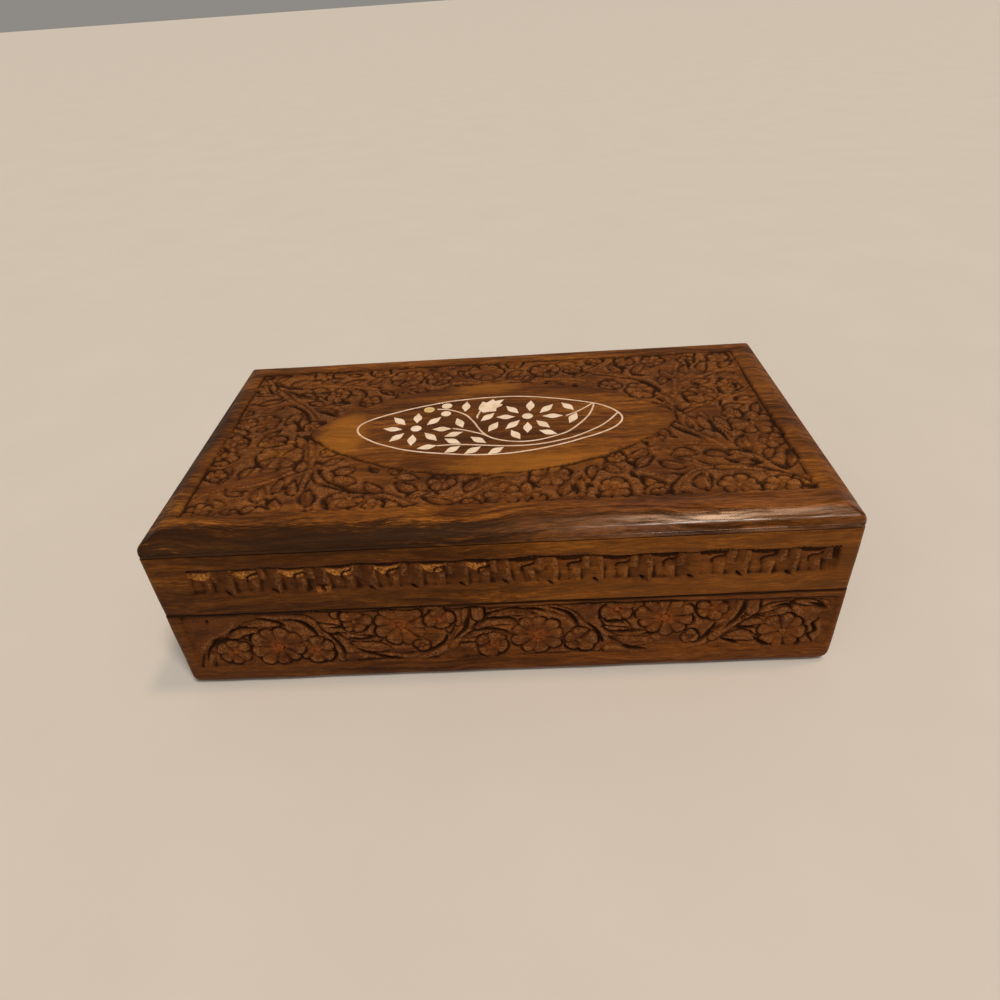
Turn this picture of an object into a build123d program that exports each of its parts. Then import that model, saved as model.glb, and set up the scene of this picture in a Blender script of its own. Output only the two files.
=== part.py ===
# Carved wooden trinket box with an inlaid lid.
# Millimetres. X runs left to right, Y front to back, Z up.
# The origin is the middle of the underside.
import os
from math import cos, hypot, radians, sin, sqrt, tan

from build123d import *

os.makedirs("parts", exist_ok=True)

# Case
box_width = 200.0
box_depth = 115.0
base_height = 30.0
rail_height = 22.0
panel_thickness = 5.8
wall_thickness = 9.0
lid_gap = 0.3
corner_radius = 1.6
foot_radius = 3.0

# Edges this close to a height or a direction are taken to be at it, and cuts overlap by it.
near = 0.01

# Top board
panel_overhang = 0.4
panel_corner_radius = 1.2
panel_edge_drop = 2.3
panel_edge_width = 5.0
panel_shoulder_radius = 3.0
panel_crest_radius = 8.0
panel_under_radius = 0.8

# Bottom board and its nails
bottom_thickness = 4.0
bottom_rebate = 4.5
bottom_recess = 0.4
bottom_clearance = 0.2
brad_radius = 0.6
brad_length = 10.0
brad_from_end = 38.0
brad_clearance = 0.05

# Velvet
floor_lining_thickness = 1.2
wall_lining_thickness = 0.8
lining_rim_drop = 1.5
lid_lining_thickness = 0.8
lining_clearance = 0.1

# Hinges. A knuckle's tongue stops inside its wall, short of the pin.
hinge_length = 25.0
hinge_from_end = 38.0
knuckle_count = 5
knuckle_radius = 2.0
knuckle_gap = 0.15
pin_radius = 0.9
pin_fixed_clearance = 0.02
pin_running_clearance = 0.06
leaf_thickness = 1.0
leaf_width = 6.2
tongue_stop = 1.2
seat_clearance = 0.25
barrel_inset = 0.1
lid_opens = 100.0
bevel_spare = 1.5
bevel_overrun = 1.0
screw_radius = 0.8
screw_head_radius = 1.5
screw_length = 7.0
screw_tip_length = 0.9
screw_tip_taper = 28.0
screw_spacing = 14.0
screw_clearance = 0.05
screw_slot_width = 0.5
screw_slot_depth = 0.4
countersink_angle = 82.0

# Carved field of the top board
top_margin_left = 7.5
top_margin_right = 8.5
top_margin_front = 10.5
top_margin_back = 9.5
top_carve_depth = 1.8

# Scroll of the base walls
scroll_margin_side = 5.0
scroll_margin_low = 7.0
scroll_margin_high = 2.2
scroll_margin_end = 2.0
scroll_depth = 1.8

# Band of stepped leaves on the lid rails. The long rails carry it a little to the right.
band_pitch = 13.3
band_low = 7.2
band_high = 5.0
band_depth = 1.6
band_margin_side = 6.5
band_margin_end = 2.0
band_shift = 1.3

# One step of the band: the pocket between two leaves, the slit under it and the notch
step_pocket_top = 8.0
step_pocket_foot = 5.6
step_pocket_height = 3.4
step_slit_width = 1.3
step_slit_height = 4.0
step_notch = 1.1

# Nails and screws are too small for true circles to show.
small_round_sides = 12

# Medallion left standing in the carved top
medallion_bow = 82.0
medallion_half_height = 29.0
medallion_tip = 10.0
medallion_x = -1.1
medallion_y = -0.6

# Inlay
inlay_depth = 1.2
inlay_clearance = 0.05
inlay_line = 0.9
border_bow = 74.0
border_half_height = 19.2
border_tip = 8.5
border_x = -2.5
border_y = -0.2
flower_petals = 8
petal_length = 6.0
petal_width = 2.7
petal_blunt = 0.6
petal_ring_across = 8.3
petal_ring_deep = 7.5
flower_centre_radius = 1.6
berry_radius = 1.75

# Heights and openings that follow from the sizes above
seam_top = base_height + lid_gap
rail_top = seam_top + rail_height
lid_top = rail_top + panel_thickness
inner_width = box_width - 2 * wall_thickness
inner_depth = box_depth - 2 * wall_thickness
floor_top = bottom_recess + bottom_thickness
hinge_y = box_depth / 2 - knuckle_radius - barrel_inset
hinge_z = base_height + lid_gap / 2
hinge_offset = box_width / 2 - hinge_from_end
hinge_places = {"left": -hinge_offset, "right": hinge_offset}
screw_y = hinge_y - (knuckle_radius + seat_clearance + leaf_width) / 2
head_taper = countersink_angle / 2
head_height = (screw_head_radius - screw_radius) / tan(radians(head_taper))


def side_plane(side, height):
    """Plane on the outer face of one side, with X along the plank and Y up."""
    along, out, distance = {
        "front": ((1, 0, 0), (0, -1, 0), box_depth / 2),
        "back": ((-1, 0, 0), (0, 1, 0), box_depth / 2),
        "left": ((0, -1, 0), (-1, 0, 0), box_width / 2),
        "right": ((0, 1, 0), (1, 0, 0), box_width / 2),
    }[side]
    origin = (out[0] * distance, out[1] * distance, height)
    return Plane(origin=origin, x_dir=along, z_dir=out)


def is_long(side):
    """The front and back planks run right across; the end planks stand between them."""
    return side in ("front", "back")


def plank_length(side):
    return box_width if is_long(side) else inner_depth


def outermost(side):
    """Index of the outer face or edge of a long plank in a list sorted along Y."""
    return 0 if side == "front" else -1


def small_round(radius):
    """A hole or shank so small that a few flats do for its circle."""
    RegularPolygon(radius, small_round_sides, major_radius=False)


# Motifs of the relief. Each one is left standing where the ground about it is cut away. Their
# outlines are chains of short straight cuts, as a flat chisel makes them.
# Corners of a petal: shares of half the step between two petals, and of the flower's radius.
petal_corners = [(-1.0, 0.76), (-0.5, 1.0), (0.5, 1.0)]
# Corners along each edge of a leaf: shares of its length and of its belly.
leaf_corners = [(0.3, 0.9), (0.65, 0.85)]
stem_cuts = 5


def chiselled(points):
    """A flat shape inside straight cuts from point to point."""
    with BuildSketch() as shape:
        with BuildLine():
            Polyline(*points, close=True)
        make_face()
    return shape.sketch


def flower(x, y, radius, petals):
    """A flower seen from above: a ring of blunt petals."""
    half_step = 180 / petals
    points = []
    for count in range(petals):
        middle = half_step * (0.5 + 2 * count)
        for turn_share, radius_share in petal_corners:
            turn = radians(middle + turn_share * half_step)
            reach = radius * radius_share
            points.append((x + reach * cos(turn), y + reach * sin(turn)))
    return chiselled(points)


def leaf_shape(root, tip, belly, bend=0.0):
    """A pointed leaf from root to tip whose middle leans aside by bend."""
    run = (tip[0] - root[0], tip[1] - root[1])
    length = hypot(*run)
    across = (-run[1] / length, run[0] / length)

    def corner(share, aside):
        return tuple(r + share * d + aside * a for r, d, a in zip(root, run, across))

    left = [corner(share, bend + width * belly) for share, width in leaf_corners]
    right = [corner(share, bend - width * belly) for share, width in leaf_corners]
    return chiselled([root, *left, tip, *reversed(right)])


def stem(start, middle, end, width):
    """A stem of even width that follows an arc in a few straight cuts."""
    arc = Edge.make_three_point_arc(start, middle, end)
    left, right = [], []
    for cut in range(stem_cuts + 1):
        spot = arc @ (cut / stem_cuts)
        heading = arc % (cut / stem_cuts)
        aside = Vector(-heading.Y, heading.X) * (width / 2)
        left.append(spot + aside)
        right.append(spot - aside)
    return chiselled([*left, *reversed(right)])


# The scroll, drawn in millimetres on a field 190 long and 21 high, then stretched to its field.
# Flowers are x, y, radius and petals. Leaves are root, tip, belly and bend. Stems are three points.
scroll_length = 190.0
scroll_height = 21.0
scroll_stem_width = 1.4
scroll_end_share = 0.66
scroll_flowers = [
    (26.0, 7.6, 7.2, 8),
    (65.0, 13.0, 7.4, 8),
    (106.0, 9.0, 7.6, 8),
    (144.0, 13.0, 7.4, 8),
    (179.5, 6.8, 6.2, 8),
    (51.0, 16.5, 4.0, 5),
    (77.5, 16.0, 4.0, 5),
    (91.0, 5.2, 4.4, 5),
    (119.0, 5.5, 4.0, 5),
    (130.0, 16.5, 4.0, 5),
    (157.0, 16.0, 4.0, 5),
]
scroll_leaves = [
    ((3.5, 4.5), (17.5, 11.5), 1.6, 1.4),
    ((10.0, 14.0), (22.0, 16.5), 1.3, 1.0),
    ((46.0, 9.5), (57.0, 9.0), 1.2, -1.0),
    ((69.0, 4.0), (76.0, 9.0), 1.6, 0.0),
    ((83.0, 9.5), (96.5, 13.0), 1.3, 1.0),
    ((126.0, 9.0), (136.0, 9.0), 1.2, -1.0),
    ((149.0, 4.0), (156.0, 9.0), 1.6, 0.0),
    ((163.0, 8.0), (171.5, 11.5), 1.3, 0.8),
]
scroll_stems = [
    ((1.5, 5.0), (13.0, 15.8), (31.0, 18.5)),
    ((31.0, 18.5), (41.5, 13.0), (45.5, 3.0)),
    ((45.5, 3.0), (58.0, 1.4), (73.0, 2.0)),
    ((73.0, 2.0), (84.0, 8.5), (88.0, 20.0)),
    ((84.5, 8.0), (94.0, 17.0), (107.0, 19.3)),
    ((107.0, 19.3), (119.0, 14.0), (125.0, 2.0)),
    ((125.0, 2.0), (138.0, 1.3), (152.0, 2.0)),
    ((152.0, 2.0), (164.0, 8.0), (169.0, 20.0)),
    ((166.0, 9.0), (175.0, 16.5), (188.0, 18.5)),
]


def scroll_motifs(width, height, share):
    """The scroll's outlines on a field. Share is the part of its length that is used."""
    run = width / (scroll_length * share)
    rise = height / scroll_height
    size = min(run, rise)

    def at(point):
        return (point[0] * run - width / 2, point[1] * rise)

    used = scroll_length * share
    motifs = []
    for x, y, radius, petals in scroll_flowers:
        if x + radius < used:
            motifs.append(flower(*at((x, y)), radius * size, petals))
    for root, tip, belly, bend in scroll_leaves:
        if tip[0] < used:
            motifs.append(leaf_shape(at(root), at(tip), belly * size, bend * size))
    for start, middle, end in scroll_stems:
        if end[0] < used:
            motifs.append(stem(at(start), at(middle), at(end), scroll_stem_width * size))
    return motifs


# The vine of the top board, drawn in millimetres from the front left corner of a 200 by 115 board.
vine_width = 200.0
vine_depth = 115.0
vine_stem_width = 1.5
vine_flowers = [
    (16.0, 22.0, 6.0, 6),
    (31.0, 16.0, 4.5, 6),
    (56.0, 17.5, 4.5, 8),
    (103.0, 17.5, 5.5, 8),
    (117.5, 24.0, 4.5, 8),
    (84.0, 20.5, 4.5, 6),
    (136.5, 18.0, 4.5, 6),
    (170.0, 16.5, 4.5, 8),
    (183.0, 46.0, 6.0, 8),
    (184.0, 72.0, 5.5, 6),
    (168.5, 62.0, 4.5, 6),
    (178.0, 99.0, 5.0, 6),
    (157.0, 97.0, 5.5, 6),
    (96.0, 97.0, 5.5, 8),
    (125.0, 94.0, 5.0, 6),
    (67.0, 96.0, 5.5, 8),
    (32.0, 99.0, 5.0, 6),
    (15.0, 84.0, 5.0, 6),
    (15.0, 58.0, 6.0, 8),
    (29.0, 44.0, 6.5, 8),
    (26.0, 62.0, 4.5, 6),
]
vine_leaves = [
    ((46.0, 30.0), (60.0, 24.0), 1.6, 1.0),
    ((70.0, 22.0), (76.0, 14.0), 1.6, -1.0),
    ((92.0, 13.0), (94.0, 24.0), 1.6, -1.0),
    ((126.0, 14.0), (124.0, 25.0), 1.8, 1.0),
    ((143.0, 27.0), (150.0, 17.0), 1.8, -1.0),
    ((154.0, 13.0), (161.0, 24.0), 2.0, 1.0),
    ((172.0, 27.0), (184.0, 20.0), 1.6, 1.0),
    ((161.0, 80.0), (154.0, 88.0), 2.0, -1.0),
    ((173.0, 87.0), (168.0, 96.0), 2.0, 1.0),
    ((106.0, 99.0), (117.0, 100.0), 1.6, 0.8),
    ((136.0, 98.0), (145.0, 90.0), 1.8, 1.0),
    ((80.0, 100.0), (86.0, 92.0), 1.8, -1.0),
    ((47.0, 90.0), (43.0, 101.0), 1.8, 1.0),
    ((10.0, 71.0), (20.0, 74.0), 1.8, 1.0),
    ((9.5, 36.0), (14.0, 48.0), 1.8, -1.0),
    ((38.0, 14.0), (44.0, 19.0), 1.8, 1.0),
    ((23.0, 32.0), (17.0, 36.0), 1.8, 1.0),
]
vine_stems = [
    ((10.0, 103.0), (24.0, 86.0), (45.0, 73.0)),
    ((11.0, 95.0), (22.0, 78.0), (37.0, 68.0)),
    ((34.0, 81.0), (60.0, 88.0), (92.0, 89.0)),
    ((104.0, 89.5), (128.0, 85.5), (150.0, 74.0)),
    ((158.5, 60.0), (166.0, 78.0), (183.0, 91.0)),
    ((160.0, 54.0), (170.0, 37.0), (189.0, 29.0)),
    ((177.0, 60.0), (172.0, 45.0), (176.0, 34.0)),
    ((149.0, 38.0), (168.0, 33.0), (189.0, 16.0)),
    ((110.0, 14.0), (128.0, 29.0), (150.0, 31.0)),
    ((46.0, 37.0), (58.0, 29.5), (78.0, 26.5)),
    ((44.0, 25.0), (60.0, 12.5), (76.0, 12.5)),
    ((43.0, 44.0), (30.0, 30.0), (12.0, 13.0)),
]


def vine_motifs():
    """The outlines of the vine on the top board."""
    run = box_width / vine_width
    rise = box_depth / vine_depth
    size = min(run, rise)

    def at(point):
        return (point[0] * run - box_width / 2, point[1] * rise - box_depth / 2)

    motifs = []
    for x, y, radius, petals in vine_flowers:
        motifs.append(flower(*at((x, y)), radius * size, petals))
    for root, tip, belly, bend in vine_leaves:
        motifs.append(leaf_shape(at(root), at(tip), belly * size, bend * size))
    for start, middle, end in vine_stems:
        motifs.append(stem(at(start), at(middle), at(end), vine_stem_width * size))
    return motifs


def pointed_oval(bow, half_height, tip, grow=0.0):
    """A lens of two bows with both tips rounded, larger all round by grow."""
    reach = sqrt(bow**2 - (bow - half_height) ** 2)
    with BuildSketch() as lens:
        with BuildLine():
            ThreePointArc((-reach, 0), (0, half_height), (reach, 0))
            ThreePointArc((reach, 0), (0, -half_height), (-reach, 0))
        make_face()
        fillet(lens.vertices(), tip)
        if grow:
            offset(amount=grow)
    return lens.sketch


# Inlay outlines. Each can be drawn larger by grow, for the recess that takes it.

# Each vine is an arc through its first three points, then a tangent arc to each further one.
vine_routes = [
    [(-15.9, 10.9), (-9.3, 6.9), (-6.0, -0.3), (3.3, -11.6), (19.3, -10.3), (33.3, 9.0)],
    [(-14.7, -2.0), (-8.7, -3.6), (-3.3, -6.5)],
    [(23.3, 2.6), (28.5, 5.8), (32.9, 9.0)],
    [(-18.4, -12.9), (-11.3, -13.0), (-1.0, -14.4), (18.0, -13.6), (39.4, 1.4)],
]
bud_stem_route = [(-5.8, 7.6), (-6.4, 5.9), (-6.8, 3.9)]
bud_points = [
    (-5.9, 12.6), (-5.2, 16.0), (-3.7, 14.6), (-1.4, 17.0), (-0.5, 14.7), (2.3, 16.6),
    (1.0, 14.0), (2.0, 12.6), (0.1, 11.6), (-0.3, 8.4), (-4.8, 7.9),
]
flower_places = [(-26.9, -1.1), (10.5, 3.8)]
# Loose leaves are x, y and the way they point, in degrees.
leaf_places = [
    (-12.3, 1.3, 115), (-14.0, -5.8, 28), (-14.7, -10.0, -38), (-21.7, -13.2, 12),
    (-14.3, -15.5, 38), (-7.6, -16.6, 38), (0.0, -17.2, 40), (-6.0, -10.2, -40),
    (-10.5, 12.8, 90), (-3.1, 4.6, 46), (-1.1, -2.3, 60), (6.4, -8.3, -63),
    (16.9, -7.4, -30), (24.5, 9.3, -55), (25.7, 0.6, 65),
]
berry_places = [(-17.6, 14.1), (-17.6, 8.2)]
yellow_berry_places = [(-23.6, 11.7)]


def border_outline(grow=0.0):
    """The thin white line round the spray."""
    half = inlay_line / 2 + grow
    with BuildSketch() as line:
        with Locations((border_x, border_y)):
            add(pointed_oval(border_bow, border_half_height, border_tip, half))
            add(
                pointed_oval(border_bow, border_half_height, border_tip, -half),
                mode=Mode.SUBTRACT,
            )
    return [line.sketch]


def arc_run(points):
    """A smooth run: one arc through three points, then tangent arcs."""
    with BuildLine() as run:
        last = ThreePointArc(*points[:3])
        for point in points[3:]:
            last = TangentArc(last @ 1, point, tangent=last % 1)
    return run.wire()


def route_outlines(routes, grow):
    """Thin stems of one width, cut square at both ends."""
    with BuildSketch() as stems:
        for route in routes:
            trace(arc_run(route).edges(), inlay_line + 2 * grow)
    return [stems.sketch]


def vines_outline(grow=0.0):
    return route_outlines(vine_routes, grow)


def bud_stem_outline(grow=0.0):
    return route_outlines([bud_stem_route], grow)


def diamonds(places, grow):
    """Diamonds of bone, blunt at the belly, at places of x, y and turn."""
    half = petal_length / 2 + 2 * grow
    belly = petal_width / 2 + grow
    blunt = petal_blunt / 2
    upper = [(half, 0), (blunt, belly), (-blunt, belly)]
    lower = [(-x, -y) for x, y in upper]
    diamond = chiselled(upper + lower)
    return [Location((x, y), turn) * diamond for x, y, turn in places]


def petals_outline(grow=0.0):
    """The ring of petals about each flower's centre."""
    places = []
    for x, y in flower_places:
        for count in range(flower_petals):
            turn = 360 / flower_petals * count
            across = petal_ring_across * cos(radians(turn))
            deep = petal_ring_deep * sin(radians(turn))
            places.append((x + across, y + deep, turn))
    return diamonds(places, grow)


def leaves_outline(grow=0.0):
    """The diamonds set one by one along the vines."""
    return diamonds(leaf_places, grow)


def discs(places, radius):
    with BuildSketch() as disc:
        with Locations(*places):
            Circle(radius)
    return [disc.sketch]


def flower_centres_outline(grow=0.0):
    return discs(flower_places, flower_centre_radius + grow)


def berries_outline(grow=0.0):
    return discs(berry_places, berry_radius + grow)


def yellow_berry_outline(grow=0.0):
    return discs(yellow_berry_places, berry_radius + grow)


def bud_outline(grow=0.0):
    """The toothed bud."""
    with BuildSketch() as bud:
        add(chiselled(bud_points))
        if grow:
            offset(amount=grow, kind=Kind.INTERSECTION)
    return [bud.sketch]


# Laid in this order: a later piece is cut to butt against the earlier ones.
inlay_outlines = {
    "inlay_border": border_outline,
    "inlay_vines": vines_outline,
    "inlay_bud": bud_outline,
    "inlay_bud_stem": bud_stem_outline,
    "inlay_petals": petals_outline,
    "inlay_leaves": leaves_outline,
    "inlay_flower_centres": flower_centres_outline,
    "inlay_berries": berries_outline,
    "inlay_yellow_berry": yellow_berry_outline,
}


def block(width, depth, low, high, mode=Mode.ADD):
    """A plain board centred over the origin between two heights."""
    with BuildSketch(Plane.XY.offset(low)) as outline:
        Rectangle(width, depth)
    extrude(outline.sketch, amount=high - low, mode=mode)


def brad_positions():
    """Three nails along each long wall and one in the middle of each end."""
    spacing = box_width / 2 - brad_from_end
    along = (-spacing, 0, spacing)
    deep = (inner_depth + bottom_rebate) / 2
    wide = (inner_width + bottom_rebate) / 2
    return [(x, y) for y in (-deep, deep) for x in along] + [(-wide, 0), (wide, 0)]


def cut_brad_holes():
    with BuildSketch() as holes:
        with Locations(*brad_positions()):
            small_round(brad_radius + brad_clearance)
    extrude(holes.sketch, amount=bottom_recess + brad_length, mode=Mode.SUBTRACT)


# Hinge seats. Up is -1 for the base wall, below the seam, and 1 for the lid rail, above it.


def cut_stop_bevel(up):
    """Bevel of the back edge. The two bevels meet as the lid reaches its full opening."""
    reach = knuckle_radius + barrel_inset + bevel_overrun
    rise = reach * tan(radians(lid_opens / 2 + bevel_spare))
    with BuildSketch(Plane.YZ) as wedge:
        with BuildLine():
            Polyline(
                (hinge_y, hinge_z),
                (hinge_y + reach, hinge_z + up * rise),
                (hinge_y + reach, hinge_z - up * bevel_overrun),
                (hinge_y, hinge_z - up * bevel_overrun),
                close=True,
            )
        make_face()
    extrude(wedge.sketch, amount=box_width / 2, both=True, mode=Mode.SUBTRACT)


def cut_hinge_seats(up):
    """Barrel channel, leaf mortise and screw holes for each hinge."""
    seat_length = hinge_length + 2 * knuckle_gap
    face = base_height if up < 0 else seam_top
    for place in hinge_places.values():
        with BuildSketch(Plane.YZ.offset(place - seat_length / 2)) as channel:
            with Locations((hinge_y, hinge_z)):
                Circle(knuckle_radius + seat_clearance)
        extrude(channel.sketch, amount=seat_length, mode=Mode.SUBTRACT)
        with BuildSketch(Plane.XY.offset(face)) as mortise:
            with Locations((place, hinge_y)):
                Rectangle(seat_length, leaf_width + seat_clearance, align=(Align.CENTER, Align.MAX))
        extrude(mortise.sketch, amount=up * leaf_thickness, mode=Mode.SUBTRACT)
        with BuildSketch(Plane.XY.offset(face)) as pilots:
            with Locations(*screw_positions(place)):
                small_round(screw_radius + screw_clearance)
        depth = screw_length + screw_clearance
        extrude(pilots.sketch, amount=up * depth, mode=Mode.SUBTRACT)


def screw_positions(place):
    return [(place - screw_spacing / 2, screw_y), (place + screw_spacing / 2, screw_y)]


def base_plank(side):
    """One wall of the base: carved outside and rebated underneath."""
    length = plank_length(side)
    margin = scroll_margin_side if is_long(side) else scroll_margin_end
    share = 1.0 if is_long(side) else scroll_end_share
    field_length = length - 2 * margin
    field_height = base_height - scroll_margin_low - scroll_margin_high
    with BuildPart() as plank:
        with BuildSketch(side_plane(side, 0)):
            Rectangle(length, base_height, align=(Align.CENTER, Align.MIN))
        extrude(amount=-wall_thickness)
        feet = plank.edges().filter_by(Axis.Y).group_by(Axis.Z)[0]
        if is_long(side):
            fillet(feet, foot_radius)
            outer = plank.faces().filter_by(Axis.Y).sort_by(Axis.Y)[outermost(side)]
            fillet(outer.edges().sort_by(Axis.Z)[:-1], corner_radius)
        else:
            fillet(feet.sort_by(Axis.X)[0 if side == "left" else -1], foot_radius)
        with BuildSketch(side_plane(side, scroll_margin_low)):
            Rectangle(field_length, field_height, align=(Align.CENTER, Align.MIN))
            add(scroll_motifs(field_length, field_height, share), mode=Mode.SUBTRACT)
        extrude(amount=-scroll_depth, mode=Mode.SUBTRACT)
        block(
            inner_width + 2 * bottom_rebate,
            inner_depth + 2 * bottom_rebate,
            0,
            floor_top,
            mode=Mode.SUBTRACT,
        )
        cut_brad_holes()
        if side == "back":
            cut_stop_bevel(-1)
            cut_hinge_seats(-1)
    return plank


def band_step(top):
    """Pocket between the heads of two leaves, slit between their sides and notch at their feet."""
    with BuildSketch() as step:
        with BuildLine():
            Polyline(
                (-step_pocket_top / 2, top),
                (step_pocket_top / 2, top),
                (step_pocket_foot / 2, top - step_pocket_height),
                (-step_pocket_foot / 2, top - step_pocket_height),
                close=True,
            )
        make_face()
        slit_top = top - step_pocket_height
        add(leaf_shape((0, slit_top + near), (0, slit_top - step_slit_height), step_slit_width / 2))
        with Locations((step_pocket_top, step_notch)):
            RegularPolygon(step_notch, 3, rotation=90)
    return step.sketch


def lid_plank(side):
    """One rail of the lid with its band of stepped leaves."""
    length = plank_length(side)
    margin = band_margin_side if is_long(side) else band_margin_end
    shift = band_shift if is_long(side) else 0
    count = int((length - 2 * margin) / band_pitch)
    with BuildPart() as plank:
        with BuildSketch(side_plane(side, seam_top)):
            Rectangle(length, rail_height, align=(Align.CENTER, Align.MIN))
        extrude(amount=-wall_thickness)
        if is_long(side):
            corners = plank.edges().filter_by(Axis.Z).group_by(Axis.Y)[outermost(side)]
            fillet(corners, corner_radius)
        with BuildSketch(side_plane(side, seam_top + band_low)):
            with Locations((shift, 0)):
                with GridLocations(band_pitch, 0, count, 1):
                    add(band_step(rail_height - band_low - band_high))
        extrude(amount=-band_depth, mode=Mode.SUBTRACT)
        if side == "back":
            cut_stop_bevel(1)
            cut_hinge_seats(1)
    return plank


for side in ("front", "back", "left", "right"):
    wall = base_plank(side)
    wall.part.label = f"base_{side}_wall"
    export_step(wall.part, f"parts/base_{side}_wall.step")
    rail = lid_plank(side)
    rail.part.label = f"lid_{side}_rail"
    export_step(rail.part, f"parts/lid_{side}_rail.step")

with BuildPart() as bottom_board:
    block(
        inner_width + 2 * (bottom_rebate - bottom_clearance),
        inner_depth + 2 * (bottom_rebate - bottom_clearance),
        bottom_recess,
        floor_top,
    )
    cut_brad_holes()
bottom_board.part.label = "bottom_board"
export_step(bottom_board.part, "parts/bottom_board.step")

with BuildPart() as bottom_brads:
    with BuildSketch(Plane.XY.offset(bottom_recess)):
        with Locations(*brad_positions()):
            small_round(brad_radius)
    extrude(amount=brad_length)
bottom_brads.part.label = "bottom_brads"
export_step(bottom_brads.part, "parts/bottom_brads.step")

# Velvet. The floor piece lies first and the wall pieces stand on it.
lining_low = floor_top + floor_lining_thickness
lining_high = base_height - lining_rim_drop

with BuildPart() as floor_lining:
    block(
        inner_width - 2 * lining_clearance,
        inner_depth - 2 * lining_clearance,
        floor_top,
        lining_low,
    )
floor_lining.part.label = "floor_lining"
export_step(floor_lining.part, "parts/floor_lining.step")

for side in ("front", "back", "left", "right"):
    run = inner_width if is_long(side) else inner_depth - 2 * wall_lining_thickness
    with BuildPart() as wall_lining:
        with BuildSketch(side_plane(side, lining_low).offset(-wall_thickness)):
            Rectangle(
                run - 2 * lining_clearance,
                lining_high - lining_low,
                align=(Align.CENTER, Align.MIN),
            )
        extrude(amount=-wall_lining_thickness)
    wall_lining.part.label = f"lining_{side}"
    export_step(wall_lining.part, f"parts/lining_{side}.step")

with BuildPart() as lid_lining:
    block(
        inner_width - 2 * lining_clearance,
        inner_depth - 2 * lining_clearance,
        rail_top - lid_lining_thickness,
        rail_top,
    )
lid_lining.part.label = "lid_lining"
export_step(lid_lining.part, "parts/lid_lining.step")

# Top board: moulded edge, carved field, standing medallion and recesses for the inlay.
with BuildPart() as lid_panel:
    with BuildSketch(Plane.XY.offset(rail_top)):
        Rectangle(box_width + 2 * panel_overhang, box_depth + 2 * panel_overhang)
    extrude(amount=panel_thickness)
    crest = lid_panel.faces().sort_by(Axis.Z)[-1]
    chamfer(crest.edges(), panel_edge_width, panel_edge_drop, reference=crest)
    fillet(lid_panel.faces().sort_by(Axis.Z)[-1].edges(), panel_crest_radius)
    shoulder = lid_top - panel_edge_drop
    fillet(
        lid_panel.edges().filter_by_position(Axis.Z, shoulder - near, shoulder + near),
        panel_shoulder_radius,
    )
    corners = [edge for edge in lid_panel.edges() if abs(edge.tangent_at(0.5).Z) > near]
    fillet(corners, panel_corner_radius)
    fillet(lid_panel.faces().sort_by(Axis.Z)[0].edges(), panel_under_radius)
    with BuildSketch(Plane.XY.offset(lid_top)):
        with Locations(
            (
                (top_margin_left - top_margin_right) / 2,
                (top_margin_front - top_margin_back) / 2,
            )
        ):
            Rectangle(
                box_width - top_margin_left - top_margin_right,
                box_depth - top_margin_front - top_margin_back,
            )
        with Locations((medallion_x, medallion_y)):
            add(
                pointed_oval(medallion_bow, medallion_half_height, medallion_tip),
                mode=Mode.SUBTRACT,
            )
        add(vine_motifs(), mode=Mode.SUBTRACT)
    extrude(amount=-top_carve_depth, mode=Mode.SUBTRACT)
    with BuildSketch(Plane.XY.offset(lid_top)):
        for outline in inlay_outlines.values():
            add(outline(grow=inlay_clearance))
    extrude(amount=-inlay_depth, mode=Mode.SUBTRACT)
lid_panel.part.label = "lid_panel"
export_step(lid_panel.part, "parts/lid_panel.step")

laid = []
for name, outline in inlay_outlines.items():
    with BuildPart() as inlay:
        with BuildSketch(Plane.XY.offset(lid_top)):
            add(outline())
            for earlier in laid:
                add(earlier(grow=inlay_clearance), mode=Mode.SUBTRACT)
        extrude(amount=-inlay_depth)
    inlay.part.label = name
    export_step(inlay.part, f"parts/{name}.step")
    laid.append(outline)


# Hinges


def hinge_leaf(place, up):
    """One leaf: the plate in its mortise and its own knuckles round the pin."""
    knuckle_pitch = hinge_length / knuckle_count
    start = place - hinge_length / 2
    own = range(0, knuckle_count, 2) if up < 0 else range(1, knuckle_count, 2)
    bore = pin_radius + (pin_fixed_clearance if up < 0 else pin_running_clearance)
    face = base_height if up < 0 else seam_top
    with BuildPart() as leaf:
        with BuildSketch(Plane.XY.offset(face)):
            with Locations((place, hinge_y - leaf_width)):
                Rectangle(
                    hinge_length,
                    leaf_width - knuckle_radius - seat_clearance,
                    align=(Align.CENTER, Align.MIN),
                )
            for count in own:
                middle = start + (count + 0.5) * knuckle_pitch
                with Locations((middle, hinge_y - leaf_width)):
                    Rectangle(
                        knuckle_pitch - knuckle_gap,
                        leaf_width - tongue_stop,
                        align=(Align.CENTER, Align.MIN),
                    )
        extrude(amount=up * leaf_thickness)
        for count in own:
            low = start + count * knuckle_pitch + knuckle_gap / 2
            with BuildSketch(Plane.YZ.offset(low)):
                with Locations((hinge_y, hinge_z)):
                    Circle(knuckle_radius)
            extrude(amount=knuckle_pitch - knuckle_gap)
        with BuildSketch(Plane.YZ.offset(start)):
            with Locations((hinge_y, hinge_z)):
                Circle(bore)
        extrude(amount=hinge_length, mode=Mode.SUBTRACT)
        with BuildSketch(Plane.XY.offset(face)) as holes:
            with Locations(*screw_positions(place)):
                small_round(screw_radius + screw_clearance)
        extrude(holes.sketch, amount=up * leaf_thickness, mode=Mode.SUBTRACT)
        with BuildSketch(Plane.XY.offset(face)) as sinks:
            with Locations(*screw_positions(place)):
                small_round(screw_head_radius + screw_clearance)
        extrude(sinks.sketch, amount=up * head_height, taper=head_taper, mode=Mode.SUBTRACT)
    return leaf


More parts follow.
